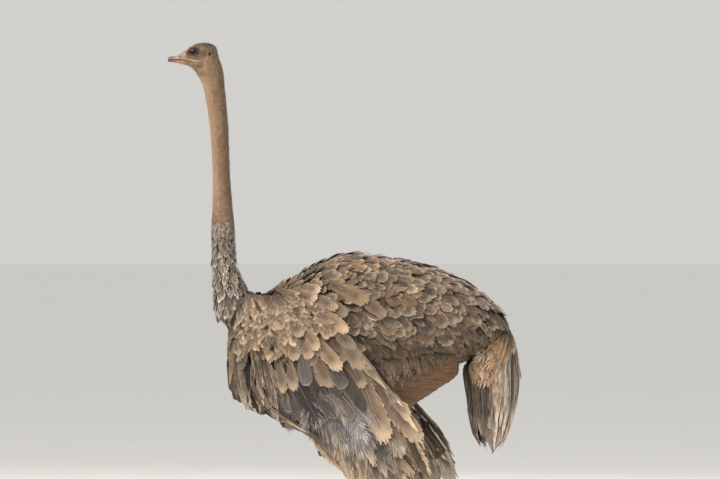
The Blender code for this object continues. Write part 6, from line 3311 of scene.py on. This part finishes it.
LARGE_QUILLS = tuple(LoneFeather(Cut.QUILL, *row) for row in (
    (-0.147, 0.691, 80, 0.16, 0.048, 0.6, 0.0, 0.35, 0.004),
    (-0.004, 0.681, 62, 0.14, 0.05, 0.4, 0.0, 0.9, 0.003),
    (-0.16, 0.545, 70, 0.24, 0.05, 0.0, 0.1, 0.7, -0.002),
    (-0.096, 0.54, 61, 0.28, 0.07, -0.4, 0.0, 0.45, 0.004),
    (-0.038, 0.566, 58, 0.27, 0.052, -0.2, 0.15, 0.5, 0.002),
    (0.026, 0.559, 60, 0.25, 0.05, 0.2, 0.6, 0.8, 0.005),
    (0.075, 0.585, 62, 0.22, 0.048, -0.3, 0.3, 0.6, -0.004),
))
LARGE_TERTIALS = (
    LoneFeather(Cut.BROAD, 0.151, 0.476, 70, 0.33, 0.085, 0.3, 0.4, 0.9, 0.004),
    LoneFeather(Cut.BROAD, 0.243, 0.56, 52, 0.36, 0.07, 0.15, 0.35, 0.8, 0.0),
    LoneFeather(Cut.BROAD, 0.29, 0.47, 54, 0.37, 0.08, 0.05, 0.4, 0.75, 0.002),
    LoneFeather(Cut.BROAD, 0.215, 0.42, 66, 0.3, 0.08, -0.1, 0.35, 0.55, -0.002),
    LoneFeather(Cut.LOCK, 0.205, 0.625, 50, 0.36, 0.03, 0.6, 0.05, 1.0, 0.006),
    LoneFeather(Cut.LOCK, 0.16, 0.67, 48, 0.32, 0.028, 0.6, 0.1, 1.0, 0.007),
    LoneFeather(Cut.LOCK, 0.265, 0.53, 52, 0.36, 0.032, 0.5, 0.15, 1.0, 0.006),
)
WING_PARTS = (
    WingPart("coverts", 0, WING_PLUMAGE, "plumage", WING_ROWS, LARGE_COVERTS, 0.026),
    WingPart("quills", 1, QUILLS, "plumes", QUILL_ROWS, LARGE_QUILLS, 0.01),
    WingPart("tertials", 5, WING_PLUMAGE, "plumes", TERTIAL_ROWS, LARGE_TERTIALS, 0.016),
    WingPart("plumes", 2, LONG_PLUMES, "plumes", PLUME_ROWS),
    WingPart("lining", 3, WING_PLUMAGE, "plumage", (WING_ROWS[2], WING_ROWS[4], PLUME_ROWS[0]), inside=True),
    WingPart("edge", 4, WING_PLUMAGE, "plumage"),
    WingPart("wisps", 6, PALE_DOWN, "plumes", WISP_ROWS),
)
TAIL_LENGTH = 0.4
TAIL_PLUMES = (
    TailBand(90, (0.0, 0.3), TAIL_LENGTH, Cut.PLUME, 0.13, (-0.6, -0.35), (0.35, 0.75)),
    TailBand(230, (0.02, 0.3), TAIL_LENGTH, Cut.LOCK, 0.052, (-0.6, -0.35, -0.05, 0.3), (0.84, 1.0)),
    TailBand(115, (0.2, 0.45), TAIL_LENGTH * 0.62, Cut.LOCK, 0.07, (-0.6, -0.2, 0.15), (0.92, 1.0)),
    TailBand(22, (0.08, 0.28), TAIL_LENGTH * 0.75, Cut.QUILL, 0.13, (-0.3, 0.1), (0.8, 0.97)),
    TailBand(84, (0.0, 0.16), TAIL_LENGTH * 1.1, Cut.LOCK, 0.042, (0.5, 0.9, 1.3), (1.0, 1.0), rear=True),
)
TAIL_COVERTS = (TailBand(200, (0.0, 0.26), 0.11, Cut.FINE, 0.34, (0.45, 0.95), (1.0, 1.0)),)
# Flesh, against the point between the eyes: places and half sizes.
HEAD_LUMPS = (
    ((0, 0.036, 0.001), (0.0375, 0.0545, 0.0355)),
    ((0, 0.055, -0.020), (0.0335, 0.040, 0.040)),
    ((0, 0.016, -0.037), (0.0295, 0.043, 0.0275)),
    ((0, -0.004, -0.015), (0.0290, 0.034, 0.0250)),
    ((0, -0.020, -0.010), (0.0245, 0.0215, 0.0200)),
    ((0, -0.021, -0.031), (0.0250, 0.0215, 0.0165)),
    ((0, 0.036, -0.070), (0.0240, 0.0265, 0.0310)),
    ((0, 0.016, -0.0635), (0.0205, 0.0165, 0.0135)),
    ((0, 0.050, -0.098), (0.0250, 0.0240, 0.0300)),
)
SIDE_LUMPS = (
    ((0.0170, 0, 0), (0.0238, 0.0275, 0.0245)),
    ((0.0330, 0.002, 0.0185), (0.0075, 0.021, 0.0065)),
    ((0.0190, 0.018, -0.040), (0.0140, 0.030, 0.0170)),
    ((0.0185, -0.024, -0.008), (0.0090, 0.011, 0.0080)),
)
CHEEK_FOLDS = (  # bend, place back and up, size, depth
    (0.020, 0.052, -0.046, 0.026, 0.0014),
    (0.014, 0.040, -0.040, 0.020, 0.0010),
    (0.012, 0.060, -0.052, 0.030, 0.0010),
)
NECK_TOP = (  # place back and up, half width, half depth
    (0.0700, -0.068, 0.0325, 0.0405), (0.0600, -0.030, 0.0320, 0.0360), (0.050, -0.002, 0.029, 0.030),
)
ARM_KNOTS = (  # shares of the wing's size outward, back and up
    (0.42, 0.20, 0.78), (0.56, 0.42, 0.66), (0.64, 0.40, 0.50), (0.70, 0.30, 0.34), (0.76, 0.40, 0.14),
)
PAIRED = ("wing", "wing_plumes", "thigh", "shank", "tarsus", "toe_inner", "toe_outer")
FLESH = (
    "head", "ear_left", "ear_right", "neck_upper", "neck_middle", "neck_lower", "trunk", "tail",
    *(f"{part}_{side}" for part in PAIRED for side in SIDES),
)


def report(piece: Thing) -> None:
    """Log a piece with its number of triangles."""
    sides = read_items(piece.data.polygons, "loop_total", kind=np.int32)
    LOG.info("%s: %d triangles", piece.name, int((sides - 2).sum()))


def corners() -> list[list[float]]:
    """The whole object's box as plain numbers."""
    return [[round(float(value), 5) for value in corner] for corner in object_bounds()]


def main(solid_box: list[list[float]]) -> None:
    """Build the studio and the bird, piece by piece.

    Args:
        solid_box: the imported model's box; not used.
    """
    logging.basicConfig(level=logging.INFO, format="%(message)s")
    Studio().build(FLOOR)
    eyes = Eyes()
    made = eyes.build(EYE)
    skin = Skin(eyes)
    flesh = skin.build(HIDE)
    hide, bill, nail = Hide(flesh), Bill(skin.head.middle), NAIL_HORN.material()
    made += [flesh, bill.half("bill_upper", True, UPPER_HORN), bill.half("bill_lower", False, LOWER_HORN)]
    made += [Leg(side).claw(nail) for side in SIDES]
    coats = BodyCoat(skin.trunk).pieces(BODY_PLUMAGE) + NeckCoat(skin.base).pieces(NECK_PLUMAGE)
    for side in SIDES:
        coats += ThighCoat(side, hide).pieces(BODY_PLUMAGE)
    coats += HeadDown(hide, eyes, skin.head.middle).pieces(HEAD_HAIR, LASHES)
    coats += [SADDLE.piece(hide, BODY_PLUMAGE), NECK_FRINGE.piece(hide, NECK_PLUMAGE)]
    coats += BreastCoat().pieces(BODY_PLUMAGE)
    for side in SIDES:
        coats += Wing(side).pieces(WING_PARTS)
    coats += Tail().pieces(BODY_PLUMAGE, LONG_PLUMES)
    for piece in (*made, *(coat.build() for coat in coats)):
        report(piece)


if __name__ == "__main__":
    main(corners())
